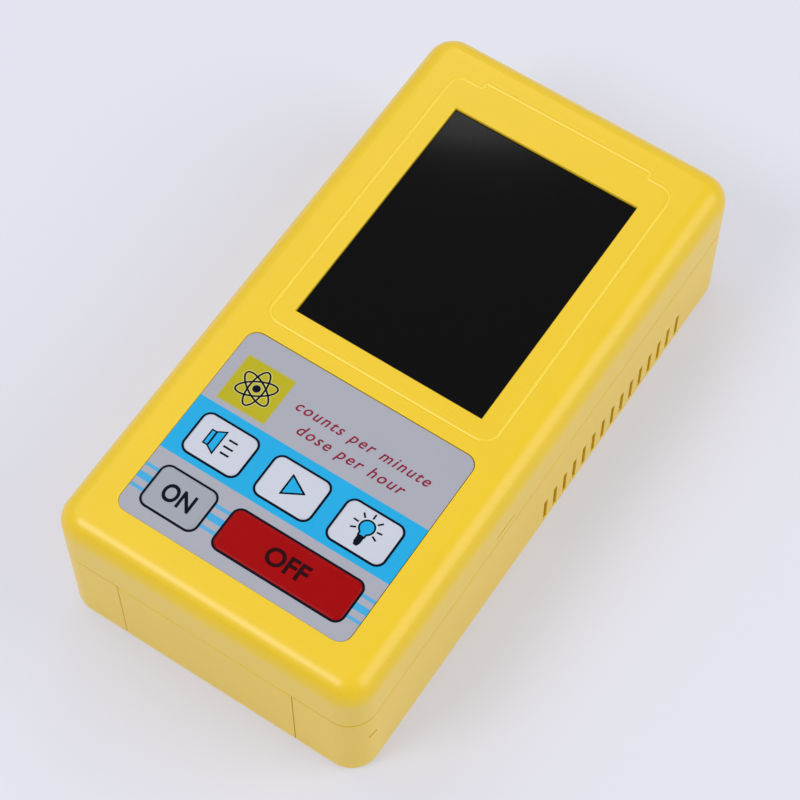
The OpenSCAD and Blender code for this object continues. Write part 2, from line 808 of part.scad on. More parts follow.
upper_shell();
lower_shell();
battery_door();
door_pad();
display_glass();
display_gasket();
display_panel();
display_bezel();
display_board();
display_driver();
display_header();
header_pins();
header_socket();
display_screws();
keypad_overlay();
keypad_spacer();
keypad_circuit();
keypad_tail();
tail_connector();
key_sound();
key_play();
key_light();
key_on();
key_off();
dome_sound();
dome_play();
dome_light();
dome_on();
dome_off();
main_board();
board_screws();
microcontroller();
hv_inductor();
hv_capacitor();
smd_parts();
buzzer();
detector_glass();
detector_cathode();
detector_anode();
detector_caps();
detector_clips();
battery_cell_left();
battery_cell_middle();
battery_cell_right();
flat_contacts();
spring_contacts();
battery_lead();
case_screws();
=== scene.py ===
"""Looks of a handheld radiation counter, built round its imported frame.

The frame gives the places that a piece shares with the mechanical model. The property groups hold
the rest: wall sizes, roundings, colours and the studio. Lengths are in metres.
"""

import math

import bmesh
import bpy
from mathutils import Matrix, Vector


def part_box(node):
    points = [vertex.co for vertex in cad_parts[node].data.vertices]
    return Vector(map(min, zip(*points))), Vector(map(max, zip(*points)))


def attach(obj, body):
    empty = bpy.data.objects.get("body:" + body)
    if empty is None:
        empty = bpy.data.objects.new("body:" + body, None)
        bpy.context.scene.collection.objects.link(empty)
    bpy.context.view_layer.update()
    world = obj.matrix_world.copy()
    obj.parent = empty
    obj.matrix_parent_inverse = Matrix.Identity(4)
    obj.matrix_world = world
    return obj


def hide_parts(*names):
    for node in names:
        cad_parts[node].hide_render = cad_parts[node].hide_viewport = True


bl_info = {
    "name": "Radiation Counter Looks",
    "version": (1, 0, 0),
    "blender": (4, 5, 0),
    "location": "3D View > Sidebar > Counter",
    "description": "Builds the visible pieces, finishes and studio of a handheld radiation counter",
    "category": "Object",
}

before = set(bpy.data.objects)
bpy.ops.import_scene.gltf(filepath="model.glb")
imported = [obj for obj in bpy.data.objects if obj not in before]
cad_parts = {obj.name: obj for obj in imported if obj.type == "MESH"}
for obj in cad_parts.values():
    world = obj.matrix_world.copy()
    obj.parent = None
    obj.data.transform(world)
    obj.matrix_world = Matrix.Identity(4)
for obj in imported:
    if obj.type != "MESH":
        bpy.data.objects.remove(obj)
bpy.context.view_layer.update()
MM = 0.001
TOUCH = 0.004 * MM


# ---------- properties ----------


def linear(level):
    """Linear value of a display level from 0 to 255."""
    part = level / 255
    return part / 12.92 if part <= 0.04045 else ((part + 0.055) / 1.055) ** 2.4


def shade(red, green, blue):
    """Colour from display levels."""
    return tuple(linear(level) for level in (red, green, blue))


def length(name, description, millimetres):
    return bpy.props.FloatProperty(
        name=name, description=description, default=millimetres * MM, precision=5, unit="LENGTH"
    )


def colour(name, description, red, green, blue):
    return bpy.props.FloatVectorProperty(
        name=name, description=description, default=shade(red, green, blue), subtype="COLOR",
        size=3, min=0, max=1,
    )


def amount(name, description, default):
    return bpy.props.FloatProperty(name=name, description=description, default=default)


def degrees(name, description, default):
    return bpy.props.FloatProperty(
        name=name, description=description, default=math.radians(default), subtype="ANGLE"
    )


class CaseSizes(bpy.types.PropertyGroup):
    """Sizes of the case halves and the battery door."""

    height: length("Height", "Height of the top face", 42.0)
    corner_radius: length("Corner radius", "Radius of the four upright corners", 6.8)
    top_rounding: length("Top rounding", "Rounding of the edge round the top face", 5.8)
    back_rounding: length("Back rounding", "Rounding of the edge round the back face", 2.0)
    wall: length("Side wall", "Thickness of the side and back walls", 2.2)
    top_wall: length("Top wall", "Thickness of the top wall", 2.6)
    split_height: length("Parting height", "Height of the parting line", 26.0)
    seam_gap: length("Seam gap", "Groove that shows at the parting line", 0.3)
    tongue_height: length("Tongue height", "How far the lower half's tongue rises", 1.5)
    tongue_wall: length("Tongue wall", "Thickness of that tongue", 1.0)
    clearance: length("Clearance", "Gap between pieces that slide or nest", 0.15)
    softness: length("Edge softness", "Small rounding of moulded edges", 0.2)
    bead_width: length("Bead width", "Width of the raised line round the window", 0.9)
    bead_height: length("Bead height", "Height of that line above the top face", 0.235)
    vent_count: bpy.props.IntProperty(
        name="Vents", description="Number of vent slots in the right side", default=15, min=1
    )
    vent_pitch: length("Vent pitch", "Distance between vent slots", 4.14)
    vent_width: length("Vent width", "Width of a vent slot", 1.35)
    vent_foot: length("Vent foot", "Height of the vents' lower ends", 3.0)
    vent_height: length("Vent height", "Height of a vent slot", 8.4)
    vent_middle: length("Vent middle", "Middle of the row of vents along the case", 26.75)


class KeypadSizes(bpy.types.PropertyGroup):
    """Sizes of the printed label and its keys."""

    label_radius: length("Label radius", "Corner radius of the label", 3.0)
    key_radius: length("Key radius", "Corner radius of a key", 2.3)
    outline: length("Outline", "Width of the dark line round a key", 0.42)
    rim: length("Rim height", "How far a key's dark rim stands above the label", 0.05)
    pillow: length("Pillow height", "How far a key's face stands above its rim", 0.29)
    shoulder: length("Shoulder", "Width of a key's embossed shoulder", 0.75)
    ink: length("Ink", "Thickness of printed ink", 0.02)


class Finishes(bpy.types.PropertyGroup):
    """Colours of the visible finishes."""

    case: colour("Case", "Moulded case", 246, 206, 10)
    # lighter case colour on the raised line round the window: a painted highlight, not wear
    worn: colour("Case with painted highlight", "Case on its raised line, lighter as a painted highlight", 253, 217, 40)
    label: colour("Label", "Ground of the label", 172, 173, 184)
    band: colour("Band", "Blue bands of the label and fills of the pictograms", 18, 172, 228)
    badge: colour("Badge", "Square behind the large pictogram", 188, 176, 6)
    white_key: colour("White keys", "Ground of the pictogram keys", 206, 210, 223)
    grey_key: colour("Grey key", "Ground of the on key", 161, 165, 176)
    red_key: colour("Red key", "Ground of the off key", 164, 5, 9)
    outline: colour("Outline ink", "Dark ink of outlines and pictograms", 9, 12, 30)
    wording: colour("Wording ink", "Crimson ink of the two printed lines", 140, 20, 55)


class Studio(bpy.types.PropertyGroup):
    """Camera, floor and lights."""

    azimuth: degrees("Azimuth", "Camera direction round the counter", 33.2)
    elevation: degrees("Elevation", "Camera height above the horizon", 61.69)
    roll: degrees("Roll", "Camera roll", 0.39)
    distance: length("Distance", "From the camera to the point it looks at", 592.9)
    lens: amount("Lens", "Focal length in millimetres", 117.85)
    shift: amount("Shift", "Sideways shift of the camera's frame", -0.0174)
    aim: bpy.props.FloatVectorProperty(
        name="Aim",
        description="Point that the camera looks at",
        default=(3.6 * MM, -1.5 * MM, 21 * MM),
        subtype="TRANSLATION",
    )
    floor: colour("Floor", "Pale floor", 231, 232, 244)
    glow: amount("Glow", "Strength of the light that comes through the floor", 0.38)
    sky: amount("Sky", "Strength of the room's even light", 0.42)
    left: amount("Left light", "Power of the soft light on the left, in watts", 3.4)
    right: amount("Right light", "Power of the low soft light on the right, in watts", 8.4)
    front: amount("Front light", "Power of the smaller light in front, in watts", 6.5)
    back: amount("Back light", "Power of the light that the window mirrors, in watts", 1.35)


# ---------- modelling ----------


def rest():
    """Leaves edit mode and deselects everything."""
    if bpy.context.object and bpy.context.object.mode != "OBJECT":
        bpy.ops.object.mode_set(mode="OBJECT")
    bpy.ops.object.select_all(action="DESELECT")


def activate(piece):
    rest()
    piece.select_set(True)
    bpy.context.view_layer.objects.active = piece


def settle(piece, name):
    """Names a piece and puts its place, turn and size into its mesh."""
    activate(piece)
    piece.name = piece.data.name = name
    bpy.ops.object.transform_apply(location=True, rotation=True, scale=True)
    return piece


def pick(piece, kind, test):
    """Goes into edit mode with only those verts, edges or faces selected that pass the test."""
    activate(piece)
    bpy.ops.object.mode_set(mode="EDIT")
    bpy.context.tool_settings.mesh_select_mode = (kind == "verts", kind == "edges", kind == "faces")
    bpy.ops.mesh.select_all(action="DESELECT")
    shape = bmesh.from_edit_mesh(piece.data)
    shape.normal_update()
    chosen = [part for part in getattr(shape, kind) if test(part)]
    for part in chosen:
        part.select_set(True)
    bmesh.update_edit_mesh(piece.data)
    if not chosen:
        raise RuntimeError(f"{piece.name}: nothing to select among its {kind}")


def near(a, b, slack=TOUCH):
    return abs(a - b) < slack


def ends(edge):
    """Places of an edge's two ends."""
    return tuple(vert.co for vert in edge.verts)


def upright(edge):
    """Test for edges that stand upright."""
    a, b = ends(edge)
    return near(a.x, b.x) and near(a.y, b.y)


def sideways(edge):
    """Test for edges that run from side to side."""
    a, b = ends(edge)
    return near(a.y, b.y) and near(a.z, b.z)


def at_height(height):
    """Test for edges that lie at one height."""
    return lambda edge: all(near(vert.co.z, height) for vert in edge.verts)


def rim_of(low, high, height):
    """Test for edges at one height whose ends lie on the outline of a rectangle."""

    def test(edge):
        for vert in edge.verts:
            x, y, z = vert.co
            inside = low[0] - TOUCH < x < high[0] + TOUCH and low[1] - TOUCH < y < high[1] + TOUCH
            if not (near(z, height) and inside):
                return False
        return True

    return test


def facing(axis, sign, at=None):
    """Test for faces that look along an axis, and lie at a place on it if one is given."""

    def test(face):
        place = face.calc_center_median()[axis]
        return face.normal[axis] * sign > 0.99 and (at is None or near(place, at, 10 * TOUCH))

    return test


def inset(*steps):
    """Insets the chosen faces once for each step, which is a thickness and a depth."""
    for thickness, depth in steps:
        bpy.ops.mesh.inset(thickness=thickness, depth=depth)


def take_second_material(piece):
    """Gives the chosen faces the piece's second material."""
    piece.active_material_index = 1
    bpy.ops.object.material_slot_assign()


def round_edges(piece, test, radius, segments):
    pick(piece, "edges", test)
    bpy.ops.mesh.bevel(offset=radius, segments=segments, affect="EDGES", clamp_overlap=False)
    rest()


def box(name, low, high):
    rest()
    low, high = Vector(low), Vector(high)
    bpy.ops.mesh.primitive_cube_add(size=1, location=(low + high) / 2)
    piece = bpy.context.object
    piece.scale = high - low
    return settle(piece, name)


def rounded_box(name, low, high, radius, segments=8):
    """Box with rounded upright corners."""
    piece = box(name, low, high)
    round_edges(piece, upright, radius, segments)
    return piece


def rod(name, x, y, low, high, radius, sides=40):
    """Upright cylinder."""
    rest()
    bpy.ops.mesh.primitive_cylinder_add(
        vertices=sides, radius=radius, depth=high - low, location=(x, y, (low + high) / 2)
    )
    return settle(bpy.context.object, name)


def join(name, pieces):
    rest()
    for piece in pieces:
        piece.select_set(True)
    bpy.context.view_layer.objects.active = pieces[0]
    if len(pieces) > 1:
        bpy.ops.object.join()
    return settle(bpy.context.object, name)


def apply_step(piece, step):
    activate(piece)
    bpy.ops.object.modifier_apply(modifier=step.name)


def combine(piece, other, operation):
    """Adds the other solid to the piece or cuts it away, and removes it."""
    step = piece.modifiers.new("combine", "BOOLEAN")
    step.operation, step.solver, step.object = operation, "EXACT", other
    apply_step(piece, step)
    mesh = other.data
    bpy.data.objects.remove(other)
    bpy.data.meshes.remove(mesh)


def add(piece, *others):
    for other in others:
        combine(piece, other, "UNION")


def cut(piece, *others):
    for other in others:
        combine(piece, other, "DIFFERENCE")


def soften(piece, width):
    """Rounds the edges sharper than 40 degrees of a finished shape a little."""
    step = piece.modifiers.new("soften", "BEVEL")
    step.width, step.segments = width, 3
    step.limit_method, step.angle_limit = "ANGLE", math.radians(40)
    step.use_clamp_overlap = True
    apply_step(piece, step)


def smooth(piece, angle=35):
    """Smooth shading that stays crisp at sharp edges and flat on large faces."""
    activate(piece)
    bpy.ops.object.shade_smooth_by_angle(angle=math.radians(angle))
    step = piece.modifiers.new("even normals", "WEIGHTED_NORMAL")
    step.keep_sharp, step.weight = True, 80
    apply_step(piece, step)


def merge(piece):
    """Merges doubled points and turns every face outwards."""
    pick(piece, "verts", lambda vert: True)
    bpy.ops.mesh.remove_doubles(threshold=0.001 * MM)
    bpy.ops.mesh.normals_make_consistent(inside=False)
    rest()


def millimetres(points):
    """Points given in millimetres."""
    return [tuple(value * MM for value in point) for point in points]


def filleted(corners, steps=8):
    """Closed outline through corners (x, y, radius), each rounded by an arc."""
    points = []
    for i, (x, y, radius) in enumerate(corners):
        here = Vector((x, y))
        before = (Vector(corners[i - 1][:2]) - here).normalized()
        after = (Vector(corners[(i + 1) % len(corners)][:2]) - here).normalized()
        if radius <= 0:
            points.append(here)
            continue
        half = before.angle(after) / 2
        reach = radius / math.tan(half)
        centre = here + (before + after).normalized() * (radius / math.sin(half))
        start, end = here + before * reach - centre, here + after * reach - centre
        turn = math.atan2(start.x * end.y - start.y * end.x, start.dot(end))
        points += [centre + Matrix.Rotation(turn * k / steps, 2) @ start for k in range(steps + 1)]
    return points


def plate(name, outline, low, high):
    """Flat plate: a disc whose rim is moved to the outline, then extruded."""
    rest()
    bpy.ops.mesh.primitive_circle_add(vertices=len(outline), radius=1, fill_type="NGON")
    piece = bpy.context.object
    for vert, (x, y) in zip(piece.data.vertices, outline):
        vert.co = (x, y, low)
    pick(piece, "faces", lambda face: True)
    bpy.ops.mesh.extrude_region_move(TRANSFORM_OT_translate={"value": (0, 0, high - low)})
    bpy.ops.mesh.select_all(action="SELECT")
    bpy.ops.mesh.normals_make_consistent(inside=False)
    rest()
    return settle(piece, name)


def line(name, points, width, thickness, height, roundness=2):
    """Closed printed or moulded line: a round wire along points, flattened at a height."""
    rest()
    curve = bpy.data.curves.new(name, "CURVE")
    curve.dimensions = "3D"
    curve.bevel_depth, curve.bevel_resolution = width / 2, roundness
    path = curve.splines.new("POLY")
    path.points.add(len(points) - 1)
    for point, (x, y) in zip(path.points, points):
        point.co = (x, y, 0, 1)
    path.use_cyclic_u = True
    piece = bpy.data.objects.new(name, curve)
    bpy.context.scene.collection.objects.link(piece)
    activate(piece)
    bpy.ops.object.convert(target="MESH")
    piece = bpy.context.object
    piece.scale.z = thickness / (width / 2)
    piece.location.z = height
    settle(piece, name)
    merge(piece)
    return piece


def paint(piece, *materials):
    """Gives a piece its materials; its faces keep the first."""
    piece.data.materials.clear()
    for material in materials:
        piece.data.materials.append(material)


def deliver(piece, body, nodes=()):
    """Hands a finished piece over: the body it rides and the nodes it stands for."""
    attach(piece, body)
    if nodes:
        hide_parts(*nodes)


def finish(name):
    """A finish that was made before the pieces."""
    return bpy.data.materials[name]


def complete(piece, body, material, node):
    """Paints, smooths and delivers a piece of one finish that stands for one node."""
    paint(piece, finish(material))
    smooth(piece)
    deliver(piece, body, (node,))


# ---------- finishes ----------


def place(tree, kind, inputs=None, **settings):
    """Adds a node with its settings, and values or links on its inputs."""
    node = tree.nodes.new(kind)
    for key, value in settings.items():
        setattr(node, key, value)
    for key, value in (inputs or {}).items():
        if isinstance(value, bpy.types.NodeSocket):
            tree.links.new(value, node.inputs[key])
        else:
            node.inputs[key].default_value = value
    return node


def opaque(levels):
    """Colour with full alpha."""
    return (*levels, 1)


def math_node(tree, operation, first, second, third=0.0):
    inputs = {0: first, 1: second, 2: third}
    return place(tree, "ShaderNodeMath", inputs, operation=operation).outputs[0]


def blend(tree, mask, first, second):
    """Mixes two colours by a mask."""
    colours = {0: mask, 6: first, 7: second}
    return place(tree, "ShaderNodeMix", colours, data_type="RGBA").outputs[2]


def new_group(name, inputs, outputs):
    """Empty node group with named sockets; gives the tree and its input and output nodes."""
    tree = bpy.data.node_groups.new(name, "ShaderNodeTree")
    for title, kind in inputs:
        tree.interface.new_socket(title, in_out="INPUT", socket_type=f"NodeSocket{kind}")
    for title, kind in outputs:
        tree.interface.new_socket(title, in_out="OUTPUT", socket_type=f"NodeSocket{kind}")
    return tree, tree.nodes.new("NodeGroupInput").outputs, tree.nodes.new("NodeGroupOutput").inputs


def use_group(tree, name, **inputs):
    """Places a node group; inputs are named in lower case with underscores for blanks."""
    named = {key.replace("_", " ").capitalize(): value for key, value in inputs.items()}
    return place(tree, "ShaderNodeGroup", named, node_tree=bpy.data.node_groups[name]).outputs


def object_place(tree):
    """Place on the piece, in its own coordinates."""
    return place(tree, "ShaderNodeTexCoord").outputs["Object"]


def object_axis(tree, axis):
    """Place on the piece along one axis."""
    return place(tree, "ShaderNodeSeparateXYZ", {0: object_place(tree)}).outputs[axis]


def noise(tree, where, scale, detail=2.0, roughness=0.5):
    return place(
        tree,
        "ShaderNodeTexNoise",
        {"Vector": where, "Scale": scale, "Detail": detail, "Roughness": roughness},
    ).outputs["Fac"]


# What every surface group puts out
SURFACE = (("Colour", "Color"), ("Roughness", "Float"), ("Normal", "Vector"))


def finish_group(tree, given, made, value, uneven, spread, relief):
    """Last nodes of a surface group: brightness of its colour, uneven gloss and relief."""
    tinted = place(tree, "ShaderNodeHueSaturation", {"Color": given["Colour"], "Value": value})
    gloss = math_node(tree, "MULTIPLY_ADD", uneven, spread, given["Roughness"])
    bump = place(
        tree, "ShaderNodeBump", {"Height": relief, "Distance": given["Depth"], "Strength": 1.0}
    )
    for socket, title in ((tinted.outputs[0], "Colour"), (gloss, "Roughness"), (bump.outputs[0], "Normal")):
        tree.links.new(socket, made[title])


def grain_group():
    """Patchy colour, uneven gloss and fine grain of a moulded, printed or painted surface."""
    tree, given, made = new_group(
        "surface grain",
        (("Colour", "Color"), ("Variation", "Float"), ("Patch size", "Float"),
         ("Roughness", "Float"), ("Spread", "Float"), ("Grain size", "Float"), ("Depth", "Float")),
        SURFACE,
    )
    where = object_place(tree)
    patches = math_node(tree, "DIVIDE", 1.0, given["Patch size"])
    cloud = math_node(tree, "SUBTRACT", noise(tree, where, patches, 3), 0.5)
    value = math_node(tree, "MULTIPLY_ADD", cloud, given["Variation"], 1.0)
    speck = noise(tree, where, math_node(tree, "DIVIDE", 1.0, given["Grain size"]), 2, 0.6)
    uneven = math_node(tree, "ADD", math_node(tree, "MULTIPLY", speck, 0.4), cloud)
    finish_group(tree, given, made, value, uneven, given["Spread"], speck)


def band_group():
    """Mask that is one between two levels of a value, with soft ends."""
    tree, given, made = new_group(
        "band",
        (("Value", "Float"), ("Low", "Float"), ("High", "Float"), ("Softness", "Float")),
        (("Mask", "Float"),),
    )
    masks = []
    for level in ("Low", "High"):
        ramp = place(
            tree,
            "ShaderNodeMapRange",
            {
                "Value": given["Value"],
                "From Min": math_node(tree, "SUBTRACT", given[level], given["Softness"]),
                "From Max": math_node(tree, "ADD", given[level], given["Softness"]),
            },
            interpolation_type="SMOOTHSTEP",
        )
        masks.append(ramp.outputs[0])
    below = math_node(tree, "SUBTRACT", 1.0, masks[1])
    tree.links.new(math_node(tree, "MULTIPLY", masks[0], below), made["Mask"])


def brushed_group():
    """Drawn or rolled metal: streaks along one direction in tone, gloss and relief."""
    tree, given, made = new_group(
        "brushed metal",
        (("Colour", "Color"), ("Roughness", "Float"), ("Streaks", "Vector"), ("Depth", "Float")),
        SURFACE,
    )
    origin = object_place(tree)
    where = place(tree, "ShaderNodeVectorMath", {0: origin, 1: given["Streaks"]}, operation="MULTIPLY")
    streak = noise(tree, where.outputs[0], 1.0, 3, 0.6)
    stain = noise(tree, origin, 260.0, 3, 0.6)
    value = math_node(tree, "ADD", math_node(tree, "MULTIPLY", streak, 0.2), 0.75)
    value = math_node(tree, "ADD", value, math_node(tree, "MULTIPLY", stain, 0.3))
    uneven = math_node(tree, "SUBTRACT", stain, 0.4)
    finish_group(tree, given, made, value, uneven, 0.3, streak)


def new_material(name, **constants):
    """Material with its shader; gives the tree and the shader's inputs."""
    material = bpy.data.materials.new(name)
    material.use_nodes = True
    tree = material.node_tree
    shader = tree.nodes["Principled BSDF"].inputs
    for key, value in constants.items():
        shader[key.replace("_", " ")].default_value = value
    return tree, shader


def connect(tree, shader, outputs):
    """Feeds the shader from a surface group."""
    for title, socket in (("Colour", "Base Color"), ("Roughness", "Roughness"), ("Normal", "Normal")):
        tree.links.new(outputs[title], shader[socket])


def cover(tree, shader, colour, roughness, variation, patch, spread, grain, depth):
    """Feeds the shader from the surface grain; patch, grain and depth are in millimetres."""
    outputs = use_group(
        tree, "surface grain", colour=colour, variation=variation, patch_size=patch * MM,
        roughness=roughness, spread=spread, grain_size=grain * MM, depth=depth * MM,
    )
    connect(tree, shader, outputs)


def grained(name, colour, *grain, **constants):
    """Moulded, printed, painted or glassy finish in one colour."""
    tree, shader = new_material(name, **constants)
    cover(tree, shader, opaque(colour), *grain)


def metal(name, colour, roughness, streaks):
    """Bare metal with streaks; the streak vector is in cycles per metre."""
    tree, shader = new_material(name, Metallic=1.0)
    outputs = use_group(
        tree, "brushed metal", colour=opaque(colour), roughness=roughness, streaks=streaks,
        depth=0.002 * MM,
    )
    connect(tree, shader, outputs)


def band(tree, value, low, high, softness):
    """Mask between two levels of a value, in millimetres."""
    return use_group(
        tree, "band", value=value, low=low * MM, high=high * MM, softness=softness * MM
    )["Mask"]


# Print on the label, in millimetres: each blue band's edges and strength, and the badge's edges
BLUE_BANDS = ((-50.4, -35.3, 1.0), (-55.9, -55.0, 0.8), (-59.1, -57.4, 0.9), (-61.5, -60.65, 0.8))
BADGE_ACROSS = (-26.6, -13.95)
BADGE_ALONG = (-33.95, -21.4)


def label_material(finishes):
    """Printed sheet: grey ground, blue bands and a badge square with soft edges."""
    tree, shader = new_material("overlay_print", Specular_IOR_Level=0.3)
    across, along = object_axis(tree, "X"), object_axis(tree, "Y")
    colour = opaque(finishes.label)
    for low, high, strength in BLUE_BANDS:
        mask = math_node(tree, "MULTIPLY", band(tree, along, low, high, 0.06), strength)
        colour = blend(tree, mask, colour, opaque(finishes.band))
    sides = [band(tree, *side, 0.35) for side in ((across, *BADGE_ACROSS), (along, *BADGE_ALONG))]
    colour = blend(tree, math_node(tree, "MULTIPLY", *sides), colour, opaque(finishes.badge))
    cover(tree, shader, colour, 0.42, 0.06, 9, 0.1, 0.3, 0.003)


def grid(tree, where, scale, gap, width, height, offset):
    """Mask of the lines between the bricks of a wall."""
    sizes = {"Scale": scale, "Mortar Size": gap, "Brick Width": width, "Row Height": height}
    return place(tree, "ShaderNodeTexBrick", {"Vector": where, **sizes}, offset=offset).outputs["Fac"]


def board_material(name, ground, copper):
    """Circuit board: lacquer over tracks and pads."""
    tree, shader = new_material(name, Coat_Weight=0.4, Coat_Roughness=0.2)
    where = object_place(tree)
    tracks = grid(tree, where, 150.0, 0.02, 0.9, 0.32, 0.5)
    vias = place(tree, "ShaderNodeTexVoronoi", {"Vector": where, "Scale": 190.0}).outputs["Distance"]
    vias = use_group(tree, "band", value=vias, low=-1.0, high=0.16, softness=0.02)["Mask"]
    mask = math_node(tree, "MAXIMUM", math_node(tree, "MULTIPLY", tracks, 0.35), vias)
    colour = blend(tree, mask, opaque(ground), opaque(copper))
    cover(tree, shader, colour, 0.38, 0.1, 8, 0.1, 0.4, 0.004)


def cell_material():
    """Printed sleeve of a battery cell: copper-coloured end, two pale lines, dark body."""
    tree, shader = new_material("cell_wrap", Coat_Weight=0.5, Coat_Roughness=0.12)
    along = object_axis(tree, "Y")
    colour = opaque(shade(34, 36, 42))
    low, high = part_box("battery_cell_left")
    middle = (low.y + high.y) / 2 / MM
    # each band's edges from the middle of the cell, in millimetres, and its colour
    bands = (
        (13, 40, (196, 112, 58)),
        (12.2, 13, (224, 224, 226)),
        (-20.5, -19.5, (150, 152, 158)),
    )
    for start, end, tone in bands:
        mask = band(tree, along, middle + start, middle + end, 0.05)
        colour = blend(tree, mask, colour, opaque(shade(*tone)))
    cover(tree, shader, colour, 0.3, 0.08, 7, 0.1, 0.3, 0.003)


def display_material():
    """Dark display surface: fine grid of cells."""
    tree, shader = new_material("panel_black", Coat_Weight=0.5, Coat_Roughness=0.1)
    cells = grid(tree, object_place(tree), 2600.0, 0.06, 0.5, 0.5, 0.0)
    colour = blend(tree, cells, opaque(shade(20, 20, 23)), opaque(shade(12, 12, 14)))
    cover(tree, shader, colour, 0.3, 0.1, 12, 0.05, 0.5, 0.001)


# Shader settings that are the same all over a finish
SHADER_CONSTANTS = {
    "case_yellow": {"Coat_Weight": 0.4, "Coat_Roughness": 0.26},
    "case_worn": {"Coat_Weight": 0.4, "Coat_Roughness": 0.2},
    "key_white": {"Specular_IOR_Level": 0.4},
    "key_grey": {"Specular_IOR_Level": 0.45},
    "key_red": {"Specular_IOR_Level": 0.08},
    "outline_ink": {"Specular_IOR_Level": 0.07},
    "red_key_ink": {"Specular_IOR_Level": 0.07},
    "blue_ink": {"Specular_IOR_Level": 0.25},
    "wording_ink": {"Specular_IOR_Level": 0.25},
    "pale_ink": {"Specular_IOR_Level": 0.25},
    "capacitor_blue": {"Coat_Weight": 0.4},
    "foam": {"Sheen_Weight": 0.2},
    "film": {"Coat_Weight": 0.3},
    "window": {"Transmission_Weight": 1.0, "IOR": 1.284},
    "tube_glass": {"Transmission_Weight": 1.0, "IOR": 1.5},
}


class COUNTER_OT_finishes(bpy.types.Operator):
    """Makes every finish, and gives the mechanical model's pieces theirs."""

    bl_idname = "counter.finishes"
    bl_label = "Finishes"

    def execute(self, context):
        finishes = context.scene.counter_finishes
        for material in list(bpy.data.materials):
            material.name = "frame " + material.name
        grain_group()
        band_group()
        brushed_group()
        label_material(finishes)
        cell_material()
        display_material()
        board_material("board_red", shade(150, 22, 24), shade(196, 60, 48))
        board_material("board_green", shade(16, 88, 52), shade(60, 140, 84))
        # colour, roughness, variation and patch of the colour, spread of the gloss, grain and its
        # depth; patch, grain and depth are in millimetres
        plain = {
            "case_yellow": (finishes.case, 0.4, 0.05, 14, 0.12, 0.35, 0.006),
            # the raised line's case colour, lighter than the case as a painted highlight
            "case_worn": (finishes.worn, 0.3, 0.06, 3, 0.12, 0.3, 0.004),
            "key_white": (finishes.white_key, 0.32, 0.04, 5, 0.1, 0.3, 0.003),
            "key_grey": (finishes.grey_key, 0.32, 0.05, 5, 0.1, 0.3, 0.003),
            "key_red": (finishes.red_key, 0.27, 0.08, 6, 0.1, 0.3, 0.004),
            "outline_ink": (finishes.outline, 0.4, 0.2, 2, 0.1, 0.2, 0.002),
            "red_key_ink": (shade(44, 6, 10), 0.4, 0.2, 2, 0.1, 0.2, 0.002),
            "blue_ink": (finishes.band, 0.4, 0.06, 2, 0.1, 0.2, 0.002),
            "wording_ink": (finishes.wording, 0.45, 0.25, 0.8, 0.1, 0.2, 0.002),
            "pale_ink": (shade(206, 200, 120), 0.45, 0.1, 2, 0.1, 0.2, 0.002),
            "chip_black": (shade(26, 26, 28), 0.5, 0.15, 2, 0.15, 0.12, 0.01),
            "connector_ivory": (shade(226, 216, 190), 0.42, 0.08, 3, 0.1, 0.3, 0.005),
            "ferrite": (shade(52, 48, 46), 0.6, 0.2, 1.5, 0.2, 0.15, 0.02),
            "capacitor_blue": (shade(24, 34, 92), 0.32, 0.12, 4, 0.1, 0.3, 0.004),
            "ceramic_tan": (shade(176, 138, 96), 0.5, 0.2, 0.9, 0.15, 0.1, 0.01),
            "lead_black": (shade(24, 24, 26), 0.45, 0.15, 3, 0.1, 0.3, 0.004),
            "foam": (shade(44, 44, 48), 0.9, 0.35, 1.2, 0.1, 0.4, 0.12),
            "film": (shade(206, 206, 196), 0.3, 0.08, 5, 0.1, 0.4, 0.002),
            "window": (shade(46, 47, 51), 0.07, 0.06, 14, 0.02, 1.5, 0.0004),
            "tube_glass": (shade(226, 230, 226), 0.03, 0.04, 10, 0.02, 2, 0.002),
        }
        for name, (tone, *grain) in plain.items():
            grained(name, tone, *grain, **SHADER_CONSTANTS.get(name, {}))
        metal("bezel_steel", shade(186, 187, 190), 0.32, (4000, 90, 90))
        metal("screw_steel", shade(176, 177, 182), 0.3, (900, 900, 5000))
        metal("contact_nickel", shade(206, 204, 198), 0.28, (200, 900, 3000))
        metal("cathode_metal", shade(150, 146, 140), 0.42, (2500, 120, 2500))
        metal("pin_brass", shade(206, 176, 104), 0.3, (600, 600, 3000))
        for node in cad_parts.values():
            for slot in node.material_slots:
                slot.material = finish(slot.material.name.removeprefix("frame "))
        return {"FINISHED"}


# ---------- case ----------

# Places and radii of the posts, and of the holes for their screws
CASE_POST_X, CASE_POST_Y = 33 * MM, 70.5 * MM
CASE_POSTS = [(x * CASE_POST_X, y * CASE_POST_Y) for x in (-1, 1) for y in (-1, 1)]
DISPLAY_POSTS = [(x * 25 * MM, (25.9 + y * 39.5) * MM) for x in (-1, 1) for y in (-1, 1)]
BOARD_POSTS = [(x * 22 * MM, y * MM) for x in (-1, 1) for y in (-6, 60)]
CASE_POST_RADIUS, DISPLAY_POST_RADIUS, BOARD_POST_RADIUS = 3.4 * MM, 2.6 * MM, 3 * MM
CASE_PILOT_RADIUS, BOARD_PILOT_RADIUS = 1.5 * MM, 1.25 * MM
CASE_SCREW_RADIUS = 1.6 * MM
COUNTERBORE_RADIUS, COUNTERBORE_DEPTH = 3.1 * MM, 16 * MM
KEYS = ("key_sound", "key_play", "key_light", "key_on", "key_off")


def rods(places, low, high, radius, sides=32):
    """Upright cylinders at several places, as one piece."""
    return join("rods", [rod("rod", x, y, low, high, radius, sides) for x, y in places])


def within_case(name, inset, low, high, radius, segments=8):
    """Block with the case's outline drawn in by an inset."""
    near_corner, far_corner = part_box("lower_shell")
    return rounded_box(
        name,
        (near_corner.x + inset, near_corner.y + inset, low),
        (far_corner.x - inset, far_corner.y - inset, high),
        radius,
        segments,
    )


